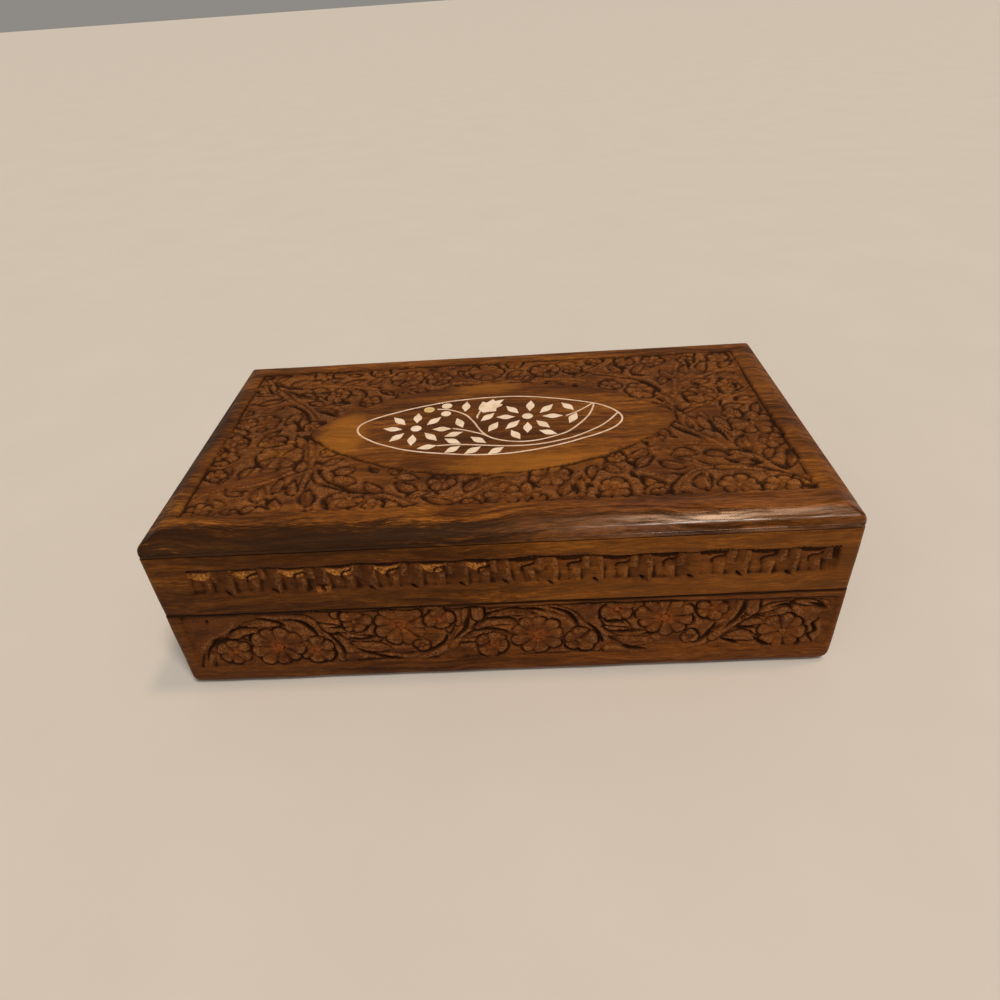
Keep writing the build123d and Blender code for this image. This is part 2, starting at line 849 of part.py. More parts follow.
for place_name, place in hinge_places.items():
    for half, up in (("base", -1), ("lid", 1)):
        leaf = hinge_leaf(place, up)
        leaf.part.label = f"hinge_{place_name}_{half}_leaf"
        export_step(leaf.part, f"parts/hinge_{place_name}_{half}_leaf.step")
    with BuildPart() as pin:
        with BuildSketch(Plane.YZ.offset(place - (hinge_length - knuckle_gap) / 2)):
            with Locations((hinge_y, hinge_z)):
                Circle(pin_radius)
        extrude(amount=hinge_length - knuckle_gap)
    pin.part.label = f"hinge_{place_name}_pin"
    export_step(pin.part, f"parts/hinge_{place_name}_pin.step")

with BuildPart() as screw:
    with BuildSketch() as head:
        small_round(screw_head_radius)
    extrude(head.sketch, amount=-head_height, taper=head_taper)
    with BuildSketch() as shank:
        small_round(screw_radius)
    extrude(shank.sketch, amount=screw_tip_length - screw_length)
    with BuildSketch(Plane.XY.offset(screw_tip_length - screw_length)) as tip:
        small_round(screw_radius)
    extrude(tip.sketch, amount=-screw_tip_length, taper=screw_tip_taper)
    with BuildSketch() as slot:
        Rectangle(3 * screw_head_radius, screw_slot_width)
    extrude(slot.sketch, amount=-screw_slot_depth, mode=Mode.SUBTRACT)

for half, face, turn in (("base", base_height, 0), ("lid", seam_top, 180)):
    spots = [spot for place in hinge_places.values() for spot in screw_positions(place)]
    with BuildPart() as hinge_screws:
        with Locations(*[Location((x, y, face), (turn, 0, 0)) for x, y in spots]):
            add(screw.part)
    hinge_screws.part.label = f"{half}_hinge_screws"
    export_step(hinge_screws.part, f"parts/{half}_hinge_screws.step")
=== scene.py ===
# %% [markdown]
# # A carved trinket box
# The box on the table is sheesham, a dark Indian rosewood with streaks from near black to orange.
# Its walls and lid are carved by hand, and a spray of bone is let into a plain oval on the lid.
# Every piece made here is laid over it, in metres, and rides on one of its two bodies, the base or
# the lid.

# %% Load the frame
import math

import bpy
import numpy as np
from mathutils import Matrix, Vector


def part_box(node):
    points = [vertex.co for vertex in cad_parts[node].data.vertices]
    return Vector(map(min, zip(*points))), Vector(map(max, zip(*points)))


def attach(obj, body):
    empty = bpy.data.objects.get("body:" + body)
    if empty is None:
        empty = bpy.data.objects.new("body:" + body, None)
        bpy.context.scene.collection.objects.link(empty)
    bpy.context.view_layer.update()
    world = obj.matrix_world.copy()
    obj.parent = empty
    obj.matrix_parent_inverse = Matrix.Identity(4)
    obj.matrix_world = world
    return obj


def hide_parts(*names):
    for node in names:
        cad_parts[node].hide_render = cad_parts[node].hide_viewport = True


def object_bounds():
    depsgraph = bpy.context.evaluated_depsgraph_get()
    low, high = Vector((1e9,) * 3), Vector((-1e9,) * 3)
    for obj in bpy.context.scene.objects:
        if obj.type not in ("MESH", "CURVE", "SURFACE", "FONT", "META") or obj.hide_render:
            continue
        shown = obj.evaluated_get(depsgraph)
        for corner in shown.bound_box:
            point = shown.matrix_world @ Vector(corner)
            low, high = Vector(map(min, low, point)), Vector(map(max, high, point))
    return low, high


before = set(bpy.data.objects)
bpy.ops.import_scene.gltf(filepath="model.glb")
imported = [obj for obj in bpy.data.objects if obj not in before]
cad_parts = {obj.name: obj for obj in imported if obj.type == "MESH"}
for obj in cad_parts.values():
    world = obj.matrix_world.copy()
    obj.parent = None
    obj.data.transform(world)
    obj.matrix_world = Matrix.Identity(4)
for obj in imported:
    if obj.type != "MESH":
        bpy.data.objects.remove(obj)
cad_low, cad_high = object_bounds()
mm = 0.001
print("box of the frame, mm:", [round(size / mm, 1) for size in cad_high - cad_low])

# %% [markdown]
# ## The camera
# The photograph was taken by hand from close by, so the lines of the box run together strongly and
# the picture leans a little. Three turns and a place describe such a camera. They are turned into
# the three directions that a camera has: its right, its up, and backwards.

# %% Camera
photo_width = 1000
focal_pixels = 712.2
sensor_width = 36
camera_place = Vector((9.0, -209.6, 175.8)) * mm
pitch, roll, yaw = (math.radians(turn) for turn in (35.53, -4.19, -2.60))

forward = Vector(
    (math.sin(yaw) * math.cos(pitch), math.cos(yaw) * math.cos(pitch), -math.sin(pitch))
)
level_right = Vector((math.cos(yaw), -math.sin(yaw), 0))
level_up = level_right.cross(forward)
camera_right = math.cos(roll) * level_right + math.sin(roll) * level_up
camera_up = math.cos(roll) * level_up - math.sin(roll) * level_right

camera_data = bpy.data.cameras.new("camera")
camera_data.lens = focal_pixels / photo_width * sensor_width
camera_data.sensor_width = sensor_width
camera_data.clip_start = 0.005
camera = bpy.data.objects.new("camera", camera_data)
bpy.context.scene.collection.objects.link(camera)
turned = Matrix((camera_right, camera_up, -forward)).transposed()
camera.matrix_world = Matrix.Translation(camera_place) @ turned.to_4x4()
bpy.context.scene.camera = camera
print("lens, mm:", round(camera_data.lens, 2))

# %% [markdown]
# ## Light and table
# A soft lamp stands high in front, a little to the right, as the short shadow on the left of the
# box tells. A small one hangs almost overhead, where it shows as the gleam on the front edge of the
# lid. A wide one and the sky all round fill the shadows. All are plain, so that a colour renders
# about as it is written.

# %% Lamps and sky
scene = bpy.context.scene
scene.view_settings.view_transform = "Standard"


def tone(red, green, blue):
    """A colour as it is read off a screen, 0 to 255, in the linear values that shaders use."""
    parts = [value / 255 for value in (red, green, blue)]
    return tuple(
        value / 12.92 if value <= 0.04045 else ((value + 0.055) / 1.055) ** 2.4 for value in parts
    )


def lamp(name, direction, softness, strength, colour=(1.0, 0.95, 0.89)):
    """A far lamp. Softness is how wide it looks from the table, in degrees."""
    data = bpy.data.lights.new(name, "SUN")
    data.angle = math.radians(softness)
    data.energy = strength
    data.color = colour
    made = bpy.data.objects.new(name, data)
    scene.collection.objects.link(made)
    away = Vector(direction).normalized()
    made.location = away
    made.rotation_mode = "QUATERNION"
    made.rotation_quaternion = away.to_track_quat("Z", "Y")


lamp("key_lamp", (0.27, -0.34, 0.9), softness=11, strength=1.75)
lamp(
    "ceiling_lamp", (0.25, 0.043, 0.963), softness=6, strength=0.66, colour=(1.0, 0.74, 0.5)
)
lamp("fill_lamp", (-0.35, -0.85, 0.4), softness=60, strength=0.7)

world = bpy.data.worlds.new("sky")
scene.world = world
world.use_nodes = True
sky = world.node_tree.nodes["Background"]
sky.inputs["Color"].default_value = (1.0, 0.94, 0.87, 1)
sky.inputs["Strength"].default_value = 0.27

# %% [markdown]
# ## Sums in shaders
# A shader is a graph of nodes, and the sums of a procedural material take many of them. The class
# below wraps a socket, so that an expression such as `mask * 0.5` adds the Math nodes by itself.
# Any other node comes from `node`, which sets the node first and then fills its sockets.

# %% Wires and recipes


class Wire:
    """An output socket that can be used in sums."""

    def __init__(self, recipe, socket):
        self.recipe = recipe
        self.socket = socket

    def sum(self, operation, other):
        return self.recipe.node("ShaderNodeMath", {"operation": operation}, {0: self, 1: other})

    def __add__(self, other):
        return self.sum("ADD", other)

    def __sub__(self, other):
        return self.sum("SUBTRACT", other)

    def __mul__(self, other):
        return self.sum("MULTIPLY", other)

    __radd__ = __add__

    def ramp(self, low, high):
        """0 at low, 1 at high and smooth between."""
        return self.recipe.node(
            "ShaderNodeMapRange",
            {"interpolation_type": "SMOOTHSTEP"},
            {"Value": self, "From Min": low, "From Max": high},
        )


class Recipe:
    """A material that is being made."""

    def __init__(self, name, **constants):
        self.material = bpy.data.materials.new(name)
        self.material.use_nodes = True
        self.tree = self.material.node_tree
        self.shader = self.tree.nodes["Principled BSDF"]
        self.fill_shader(constants)

    def fill(self, socket, value):
        if isinstance(value, Wire):
            self.tree.links.new(value.socket, socket)
        elif isinstance(value, tuple) and len(value) == 3 and socket.type == "RGBA":
            socket.default_value = (*value, 1)
        else:
            socket.default_value = value

    def fill_shader(self, sockets):
        for name, value in sockets.items():
            self.fill(self.shader.inputs[name.replace("_", " ")], value)

    def node(self, kind, settings, sockets, out=0):
        """A node with its settings, then its sockets. Returns the wire of one of its outputs."""
        made = self.tree.nodes.new(kind)
        for name, value in settings.items():
            setattr(made, name, value)
        for name, value in sockets.items():
            self.fill(made.inputs[name], value)
        return Wire(self, made.outputs[out])

    def gradient(self, value, tones, low, high):
        """Tones laid evenly from a low value to a high one."""
        made = self.tree.nodes.new("ShaderNodeValToRGB")
        elements = made.color_ramp.elements
        for element, place, shade in ((elements[0], low, tones[0]), (elements[1], high, tones[-1])):
            element.position = place
            element.color = (*shade, 1)
        for place, shade in zip(np.linspace(low, high, len(tones))[1:-1], tones[1:-1]):
            elements.new(place).color = (*shade, 1)
        self.fill(made.inputs[0], value)
        return Wire(self, made.outputs[0])

    def mix(self, amount, first, second, blend="MIX"):
        """One colour over another."""
        settings = {"data_type": "RGBA", "blend_type": blend, "clamp_factor": True}
        return self.node("ShaderNodeMix", settings, {0: amount, 6: first, 7: second}, 2)

    def noise(self, place, size, detail=3.0, rough=0.55, out=0):
        """Noise with blots about size across. Place and size are in millimetres."""
        sockets = {"Vector": place, "Scale": 1 / size, "Detail": detail, "Roughness": rough}
        return self.node("ShaderNodeTexNoise", {}, sockets, out)

    def vector(self, operation, first, second=(0, 0, 0), out=0):
        return self.node(
            "ShaderNodeVectorMath", {"operation": operation}, {0: first, 1: second}, out
        )

    def stretched(self, place, scale):
        return self.vector("MULTIPLY", place, scale)

    def place(self):
        """Where a point is on the piece, in millimetres."""
        return self.stretched(self.node("ShaderNodeTexCoord", {}, {}, "Object"), (1 / mm,) * 3)

    def attribute(self, name):
        """A number that was worked out for each point of the mesh."""
        return self.node("ShaderNodeAttribute", {"attribute_name": name}, {}, "Fac")

    def finish(self, height=None, **sockets):
        """Fills the main shader's sockets. Height is a bump, in millimetres."""
        if height is not None:
            bump = {"Distance": mm, "Strength": 1.0, "Height": height}
            sockets["Normal"] = self.node("ShaderNodeBump", {}, bump)
        self.fill_shader(sockets)
        return self.material


# %% [markdown]
# ## The table
# The photograph has a pale, warm, matt table. A single quad is enough, with a faint mottle.

# %% Table
table_half = 30.0
table_corners = [(-1, -1), (1, -1), (1, 1), (-1, 1)]
table_mesh = bpy.data.meshes.new("table_top")
table_mesh.from_pydata(
    [(table_half * x, table_half * y, 0) for x, y in table_corners], [], [(0, 1, 2, 3)]
)
table = bpy.data.objects.new("table_top", table_mesh)
scene.collection.objects.link(table)

recipe = Recipe("matt_table", Roughness=0.75)
mottle = recipe.noise(recipe.place(), 60, 4)
table_mesh.materials.append(
    recipe.finish(Base_Color=recipe.mix(mottle, tone(201, 194, 184), tone(209, 202, 192)))
)
print("table, m across:", 2 * table_half)

# %% [markdown]
# ## The carver's tools
# Carving is real relief here. Each carved face is a fine grid of heights, and the tools below work
# on it as a carver does. A gouge cut goes down along a line. A flower or a leaf is left standing
# in a gutter that is cut round it, and what is carved later stands over what was carved before.
# Numpy works on the whole neighbourhood of a motif at once, so a full lid takes a second or two.

# %% Relief


def smooth_line(points, spacing=0.5):
    """Points close together on a smooth curve through a few given ones."""
    knots = np.array(points, float)
    if len(knots) == 2:
        count = max(3, int(np.hypot(*(knots[1] - knots[0])) / spacing))
        return knots[0] + (knots[1] - knots[0]) * np.linspace(0, 1, count)[:, None]
    ends = np.vstack((2 * knots[0] - knots[1], knots, 2 * knots[-1] - knots[-2]))
    run = []
    for before, start, end, after in zip(ends, ends[1:], ends[2:], ends[3:]):
        count = max(3, int(np.hypot(*(end - start)) / spacing))
        t = np.linspace(0, 1, count, endpoint=False)[:, None]
        run.append(
            0.5
            * (
                2 * start
                + (end - before) * t
                + (2 * before - 5 * start + 4 * end - after) * t**2
                + (3 * start - before - 3 * end + after) * t**3
            )
        )
    return np.vstack(run + [knots[-1:]])


def blur(values, cells):
    """Box blur of a grid, three times over, which comes close to a soft lens."""
    for _ in range(3):
        for axis in (0, 1):
            first, last = values.take([0], axis), values.take([-1], axis)
            before, after = np.repeat(first, cells + 1, axis), np.repeat(last, cells, axis)
            padded = np.concatenate([before, values, after], axis)
            total = np.cumsum(padded, axis)
            width = 2 * cells + 1
            size = values.shape[axis]
            values = (
                total.take(range(width, width + size), axis) - total.take(range(size), axis)
            ) / width
    return values


class Relief:
    """Heights of a carved face, in millimetres. 0 is the face of the wood. Bare is how pale the
    hearts of some flowers are, and dig how deep the gutters are cut, against the usual."""

    def __init__(self, across, along, seed, bare=0.35, dig=1.0):
        self.bare = bare
        self.dig = dig
        self.across = across
        self.along = along
        self.height = np.zeros((len(across), len(along)))
        self.fresh = np.zeros_like(self.height)
        # Painted shade that the crevices do not give: dark lines along cuts, the shadow strip in a
        # pocket, darker leaf heads.
        self.painted_shade = np.zeros_like(self.height)
        self.random = np.random.default_rng(seed)
        # No hand draws a true line, so every place is a little off.
        wander_length, wander = 2.2, 0.3
        half = len(across) // 2
        reach = int(wander_length / (across[half + 1] - across[half]))
        self.off = [self.patchy(reach, wander) for _ in range(2)]
        self.uneven = 1 + np.clip(self.patchy(reach, wander), -0.45, 0.6)
        self.stood = np.zeros(self.height.shape, bool)

    def patchy(self, reach, size):
        """Smooth random values over the grid. Size is how strong they are."""
        values = blur(self.random.normal(0, 1, self.height.shape), reach)
        return size * values / values.std()

    def near(self, points, reach):
        """The part of the grid round some points, and its coordinates."""
        points = np.array(points, float).reshape(-1, 2)
        low, high = points.min(0) - reach, points.max(0) + reach
        window = (
            slice(*np.searchsorted(self.across, (low[0], high[0]))),
            slice(*np.searchsorted(self.along, (low[1], high[1]))),
        )
        x, y = np.meshgrid(self.across[window[0]], self.along[window[1]], indexing="ij")
        return window, (x + self.off[0][window], y + self.off[1][window])

    def from_line(self, line, reach):
        """For the grid near a line: the distance to it, how far along it, and which side."""
        window, (x, y) = self.near(line, reach)
        gaps = np.hypot(x[..., None] - line[:, 0], y[..., None] - line[:, 1])
        nearest = gaps.argmin(-1)
        heading = np.gradient(line, axis=0)[nearest]
        side = heading[..., 0] * (y - line[nearest, 1]) - heading[..., 1] * (x - line[nearest, 0])
        return window, gaps.min(-1), nearest / (len(line) - 1), np.sign(side)

    def gouge(self, points, width, depth):
        """A cut that tapers to nothing at both ends, in a shallow dip from a wider tool."""
        reach, blunt, dip_share = 3.5, 0.6, 0.22
        window, gap, share, _ = self.from_line(smooth_line(points), reach * width)
        swell = np.sin(np.pi * np.clip(share, 0.04, 0.96)) ** blunt
        cut = -depth * swell * np.exp(-((gap / (0.5 * width * swell)) ** 2))
        dip = -dip_share * depth * swell * np.exp(-gap / width)
        self.height[window] = np.minimum(self.height[window] + dip, cut)

    def stand(self, window, edge, top, gutter, depth):
        """Leaves a shape standing: its top inside the edge, a gutter outside."""
        held = self.height[window]
        moat = -depth * self.dig * self.uneven[window] * np.exp(-np.clip(edge, 0, None) / gutter)
        self.height[window] = np.where(edge < 0, top, np.minimum(held, moat))
        self.stood[window] |= edge < 0

    def lower(self, depth):
        """Takes the ground between the motifs down."""
        ground = blur(1.0 - self.stood, 1)
        self.height = np.minimum(self.height, -depth * np.clip(2 * ground - 0.7, 0, 1))

    def rounded(self, edge, drop=0.5, rim=0.9):
        """A top that rolls over towards its edge."""
        return -drop * np.clip(1 + edge / rim, 0, 2) ** 2

    def flower(self, x, y, radius, petals, gutter=0.9, depth=1.7):
        """Petals parted by creases, each a little tilted, about a punched heart in a ring."""
        crease_depth, crease_width, cup, ripple, throat = 0.32, 0.36, 0.22, 0.2, 0.35
        turn = self.random.uniform(0, 2)
        window, (u, v) = self.near([(x, y)], 1.1 * radius + 3 * gutter)
        middle = np.hypot(u - x, v - y)
        around = (np.arctan2(v - y, u - x) - turn) % (2 * math.pi)
        number = np.minimum((around / (2 * math.pi) * petals).astype(int), petals - 1)
        half = math.pi / petals
        share = (around - (2 * number + 1) * half) / half
        reach = radius * self.random.uniform(0.92, 1.08, petals)[number]
        lobe = reach * (0.84 + 0.16 * np.sqrt(np.cos(0.5 * math.pi * share).clip(0)))
        edge = middle - lobe
        heart = 0.13 * radius + 0.3
        open_share = np.clip((middle - heart) / (radius - heart), 0, 1)
        lean = self.random.normal(0, 0.13, petals)[number] * share
        lift = self.random.normal(0, 0.1, petals)[number]
        top = -0.1 + lift + lean + self.rounded(edge, 0.5, min(1.3, 0.3 * radius))
        from_crease = (1 - np.abs(share)) * half * middle
        crease = crease_depth * np.exp(-((from_crease / crease_width) ** 2))
        top = top - crease * np.clip(1.6 * open_share, 0, 1)
        top = top - cup * share**2 * open_share
        top = top - ripple * np.abs(np.sin(2 * math.pi * share)) * np.clip(1.3 - open_share, 0, 1)
        top = top - throat * (1 - open_share)
        punched = self.random.normal(0, 0.2, u.shape)
        top = np.where(middle < heart, -0.3 + punched, top)
        top = top - 0.25 * np.exp(-(((middle - heart) / 0.3) ** 2))
        if self.random.random() < 0.6:
            bare = self.bare * np.clip(2.6 - middle / heart, 0, 1)
            self.fresh[window] = np.maximum(self.fresh[window], bare)
        self.stand(window, edge, top, gutter, depth)

    def leaf(self, root, tip, belly, bend=0.0, gutter=0.9, depth=1.35, fold=0.3):
        """A pointed leaf with a cut down its middle."""
        root, tip = np.array(root, float), np.array(tip, float)
        heading = tip - root
        beside = np.array((-heading[1], heading[0])) / max(np.hypot(*heading), 0.01)
        middle = (root + tip) / 2 + beside * bend
        line = smooth_line([root, middle, tip])
        window, gap, share, side = self.from_line(line, belly + 2.5 * gutter)
        half = belly * np.sin(np.pi * np.clip(share, 0, 1) ** 0.85) ** 0.8
        edge = gap - half
        lift = self.random.normal(0, 0.1)
        top = -0.2 + lift + self.rounded(edge, 0.5, 0.8 * belly)
        top = top - fold * np.exp(-((gap / 0.4) ** 2)) - 0.2 * (side > 0)
        self.stand(window, edge, top, gutter, depth)

    def stem(self, points, width=1.6, gutter=1.1, depth=0.9):
        """A round stem, thinner towards its end."""
        window, gap, share, _ = self.from_line(smooth_line(points), width / 2 + 2.5 * gutter)
        half = width / 2 * (1 - 0.35 * share)
        edge = gap - half
        top = -0.12 - 0.5 * np.clip(gap / half, 0, 2) ** 2
        self.stand(window, edge, top, gutter, depth)

    def nub(self, x, y, width, tall, gutter=0.7, depth=1.5):
        """An upright tab with round ends."""
        window, (u, v) = self.near([(x, y)], tall + 2 * gutter)
        spare = max(0.0, (tall - width) / 2)
        edge = np.hypot(np.clip(np.abs(v - y) - spare, 0, None), u - x) - width / 2
        self.stand(window, edge, -0.1 + self.rounded(edge), gutter, depth)

    def fill(self, inside, spacing, size, leafy=0.7):
        """Small leaves and petals wherever the face is still plain."""
        spots = np.argwhere(inside)
        self.random.shuffle(spots)
        cell = self.across[1] - self.across[0]
        span = max(1, int(spacing / cell))
        step = max(1, int(1.0 / cell))
        most_relief, one_in = 0.12, 3
        placed = 0
        plain = self.height.copy()
        for i, j in spots[:: step * one_in]:
            patch = self.height[max(0, i - span): i + span + 1, max(0, j - span): j + span + 1]
            if np.ptp(patch) > most_relief:
                continue
            x, y = self.across[i], self.along[j]
            angle = self.random.uniform(0, 2 * math.pi)
            long = size * self.random.uniform(0.7, 1.2)
            dx, dy = math.cos(angle) * long, math.sin(angle) * long
            if self.random.random() < leafy:
                root, tip = (x - dx, y - dy), (x + dx, y + dy)
                self.leaf(root, tip, long * 0.42, long * 0.25, gutter=0.8)
            else:
                self.flower(x, y, long * 0.8, 5, gutter=0.8)
            placed += 1
        self.height = np.where(inside, self.height, plain)
        return placed

    def hand_cut(self, ground=-0.7):
        """Makes the surface uneven, as a hand tool leaves it, and roughens the ground."""
        cut = np.clip((-self.height - 0.1) / 0.2, 0, 1)
        deep = np.clip((ground - self.height) / 0.5, 0, 1)
        for reach, size in ((8, 0.1), (4, 0.08), (2, 0.05), (1, 0.03)):
            self.height = self.height + cut * self.patchy(reach, size)
        self.height = self.height + 0.1 * deep * self.patchy(1, 1.0)

    def hollow_shade(self, reach=3):
        """How much painted shade a point gets: 0 on the face to 1 deep down in a crevice or a cut,
        or where more painted shade is laid on.
        """
        crevice = np.clip(blur(self.height, reach) - self.height - 0.03, 0, 1)
        deep = np.clip((-self.height - 0.35) / 1.2, 0, 1)
        return np.clip(np.maximum(0.5 * deep + 1.6 * crevice, self.painted_shade), 0, 1)

    def carved(self):
        """1 where a tool has been, 0 on wood that was left plain."""
        return blur(np.clip(-self.height / 0.2, 0, 1), 1)

    def wear_and_highlight(self, reach=3):
        """1 on the crests that hands and cloths have rubbed. They are painted lighter, partly as
        wear and partly as a painted highlight.
        """
        crest = np.clip((self.height - blur(self.height, reach)) / 0.6, 0, 1)
        return crest * np.clip((-self.height - 0.05) / 0.15, 0, 1)

    def marks(self):
        """What the finish of the wood needs to know about each point. Fresh is bare wood."""
        return {
            "hollow_shade": self.hollow_shade(), "wear_and_highlight": self.wear_and_highlight(), "carved": self.carved(),
            "fresh": self.fresh,
        }


# %% [markdown]
# ## The scroll of the walls
# A stem runs in waves along the wall. Large flowers sit under and over its arches, with small
# ones and curled cuts between. Places are in millimetres from the left end and the table.

# %% Chart of the scroll
scroll_stems = [
    ([(7, 8), (10, 14), (16, 20), (24, 25), (33, 28), (40, 26.8), (46, 22), (49.3, 15),
      (49.5, 9)], 3.6),
    ([(52, 9.5), (60, 9.5), (70, 8.6), (79, 9.4), (86, 15), (89.5, 21), (90, 28)], 3.2),
    ([(85, 12.5), (89, 19), (96, 25.2), (105, 28), (114, 27.5), (122, 22.5), (127.5, 15.5),
      (128.5, 9)], 3.4),
    ([(132, 9), (142, 8.6), (152, 8.0), (160, 10), (166.5, 16), (170, 22), (170.5, 28)], 3.2),
    ([(164, 12), (170, 18), (178, 23), (187, 25.5), (196, 24.5)], 3.0),
]
scroll_leaves = [
    ((10, 13), (24, 15.5), 2.6, 3.4),
    ((15, 19), (29, 20.5), 1.9, 2.2),
    ((21, 23.5), (34, 24), 1.6, 1.2),
    ((53, 20.6), (45, 24.5), 1.9, 0.9),
    ((64, 16), (50, 19.8), 1.7, 1.0),
    ((66, 12.0), (53, 15.5), 2.3, 0.6),
    ((88, 15), (104, 15.8), 1.5, 2.6),
    ((91, 19), (106, 21.2), 1.8, 2.2),
    ((96, 24), (111, 24.6), 1.5, 1.6),
    ((139, 17.6), (130, 22.2), 1.9, 0.8),
    ((146, 14), (131, 17.8), 1.7, 1.1),
    ((147, 10.8), (133, 13.2), 1.9, 0.6),
    ((171, 15.5), (180, 17.5), 1.3, 1.0),
    ((172, 19.5), (181, 21.6), 1.2, 1.0),
    ((167, 11.5), (178, 10.5), 2.2, 1.2),
    ((175, 21), (186, 25), 1.2, 0.9),
    ((186, 25.6), (196, 22.8), 1.1, 0.6),
    ((86, 25), (84, 17), 1.5, -0.6),
]
scroll_flowers = [
    (17, 13.0, 5.2, 6), (42.3, 13.2, 5.6, 6), (31, 15.0, 8.0, 9),
    (56.0, 24.6, 4.6, 5), (70, 22.2, 8.2, 9), (82.0, 24.0, 4.4, 4), (75.2, 13.4, 2.9, 3),
    (97, 12.6, 5.0, 4), (123.8, 13.0, 5.0, 5), (110.8, 16.0, 8.0, 9),
    (134.8, 24.6, 4.8, 5), (149, 21.5, 8.4, 10), (162.6, 24.0, 4.6, 5), (157, 12.8, 2.9, 3),
    (184.6, 13.6, 7.0, 8),
]
scroll_gouges = [
    ([(6.8, 8.5), (8.5, 13), (12, 16.8), (18, 19), (23.5, 17.4)], 1.3),
    ([(15.5, 21), (20, 23.4), (28, 22.6)], 1.4),
    ([(26, 27.2), (30.5, 26.4), (36, 24.4)], 1.3),
    ([(36, 27.3), (40, 24.6), (43.2, 21), (44.6, 16.6)], 1.4),
    ([(46, 21.6), (48.8, 17), (50.4, 13), (50.3, 9.5)], 1.4),
    ([(47, 22.9), (51, 22.2), (54.5, 22.2)], 1.1),
    ([(51.5, 18.2), (57, 17.1), (63.5, 17.6)], 1.3),
    ([(55, 11.6), (58.5, 10.4), (63.5, 8.3), (70, 8.0)], 1.3),
    ([(91, 28.4), (90.6, 24), (88.2, 18), (84, 13.6)], 1.5),
    ([(83.6, 18.4), (82, 14.2), (78.4, 10.8), (75, 9.4)], 1.3),
    ([(85.6, 21.2), (87.4, 19.6)], 1.0),
    ([(91.8, 19.8), (96, 22.8), (101.5, 23.4), (106.5, 22.7)], 1.5),
    ([(87.8, 15.6), (92.5, 18.2), (98.5, 18.7), (104.2, 17.0)], 1.4),
    ([(85.4, 12.3), (90, 13.1), (93.5, 13)], 0.9),
    ([(104, 27), (110, 26.8), (114.5, 25)], 1.3),
    ([(113, 27.8), (118.6, 25.2), (122.8, 20.6), (124.8, 16.8)], 1.5),
    ([(125, 21.6), (128.4, 17), (130.2, 12.4), (130.2, 8.6)], 1.4),
    ([(131, 20.6), (134.5, 20.2), (138, 18.2)], 1.3),
    ([(132, 16.4), (137, 15.4), (143, 15.6)], 1.3),
    ([(134.5, 10.3), (139, 9.0), (145, 7.6)], 1.2),
    ([(141, 14.2), (148, 14.2)], 1.0),
    ([(171.8, 28.4), (171.6, 24), (170, 19), (166, 14.8)], 1.5),
    ([(164.4, 20.2), (163.6, 16), (161, 12), (157, 9.0)], 1.4),
    ([(179, 23.4), (184, 24), (187, 20.4)], 1.6),
    ([(190, 25.4), (194, 23.4), (197.4, 22.2)], 1.6),
    ([(171, 18), (176, 19.8), (180.4, 19.2)], 1.2),
    ([(168, 15), (173, 15.6), (178.4, 14.6)], 1.4),
    ([(166, 11.2), (169.6, 10), (172.4, 7.8)], 1.3),
    ([(176, 12.4), (178, 9.4), (182, 7.8)], 1.3),
    ([(193.2, 20.2), (194.6, 18.2), (193.3, 16.0), (194.6, 13.6), (193.2, 11.4), (194.4, 9.2),
      (193.4, 7.0)], 1.1),
    ([(11.6, 28.6), (11.4, 25.4)], 0.55),
]
scroll_nubs = [(93.6, 26.0, 4.0, 6.6), (174.2, 24.6, 4.0, 7.4), (51.2, 27.6, 3.6, 3.4)]


def carve_scroll(relief, length, start):
    """The scroll on one wall. Start is where on the chart the wall begins. The line over it falls
    a little towards the right, as it does on the real wall."""
    low, high, fall = 7.4, 29.7, 0.0115

    def at(points):
        return [(x - start, y) for x, y in points]

    foot_line = [(1, low), (length / 2, low), (length - 3, low - 0.6)]
    relief.gouge(foot_line, width=1.1, depth=0.9)
    for points, width in scroll_stems:
        relief.stem(at(points), width)
    for root, tip, belly, bend in scroll_leaves:
        relief.leaf(*at((root, tip)), belly, bend)
    for x, y, width, tall in scroll_nubs:
        relief.nub(x - start, y, width, tall)
    for x, y, radius, petals in scroll_flowers:
        relief.flower(x - start, y, radius, petals)
    for points, width in scroll_gouges:
        relief.gouge(at(points), 1.3 * width, depth=2.0)
    x, y = np.meshgrid(relief.across, relief.along, indexing="ij")
    roof = high - fall * x
    inner = (x > 7.5) & (x < length - 5.0) & (y > low + 1.5) & (y < roof - 1.5)
    added = relief.fill(inner, spacing=2.0, size=2.4)
    relief.lower(depth=0.5)
    edge = np.minimum.reduce([x - 4.0, length - 2.0 - x, y - low + 0.4, roof - y])
    relief.height *= np.clip(edge / 0.5, 0, 1)
    top_line = [
        (2.0, high), (length / 2, high - fall * length / 2), (length - 2, high - fall * length)
    ]
    relief.gouge(top_line, width=0.85, depth=1.3)
    # A dark line along the top cut is painted in as shade.
    from_ends = np.clip(np.minimum(x - 8, length - 2 - x), 0, 1)
    line = 0.95 * np.exp(-(((y - roof) / 0.4) ** 2)) * from_ends
    relief.painted_shade = np.maximum(relief.painted_shade, line)
    print("scroll: motifs filled in:", added)


# %% [markdown]
# ## The band of the lid rails
# The rails carry a run of stepped leaves: a tall middle tab between two lower shoulders, cut with
# straight chisels. Deep pockets lie between their heads, a thin slit under each pocket, and a
# small notch at each foot.

# %% Band
band_pitch, band_fall = 13.3, 0.007
band_low, band_top = 37.2, 46.9

# The middles of the leaves on the front rail. The carver spaced them by eye.
front_leaves = (
    21.6, 35.0, 49.0, 63.1, 75.2, 88.9, 101.2, 114.4, 127.2, 140.6, 154.1, 168.1, 181.6, 194.4,
)
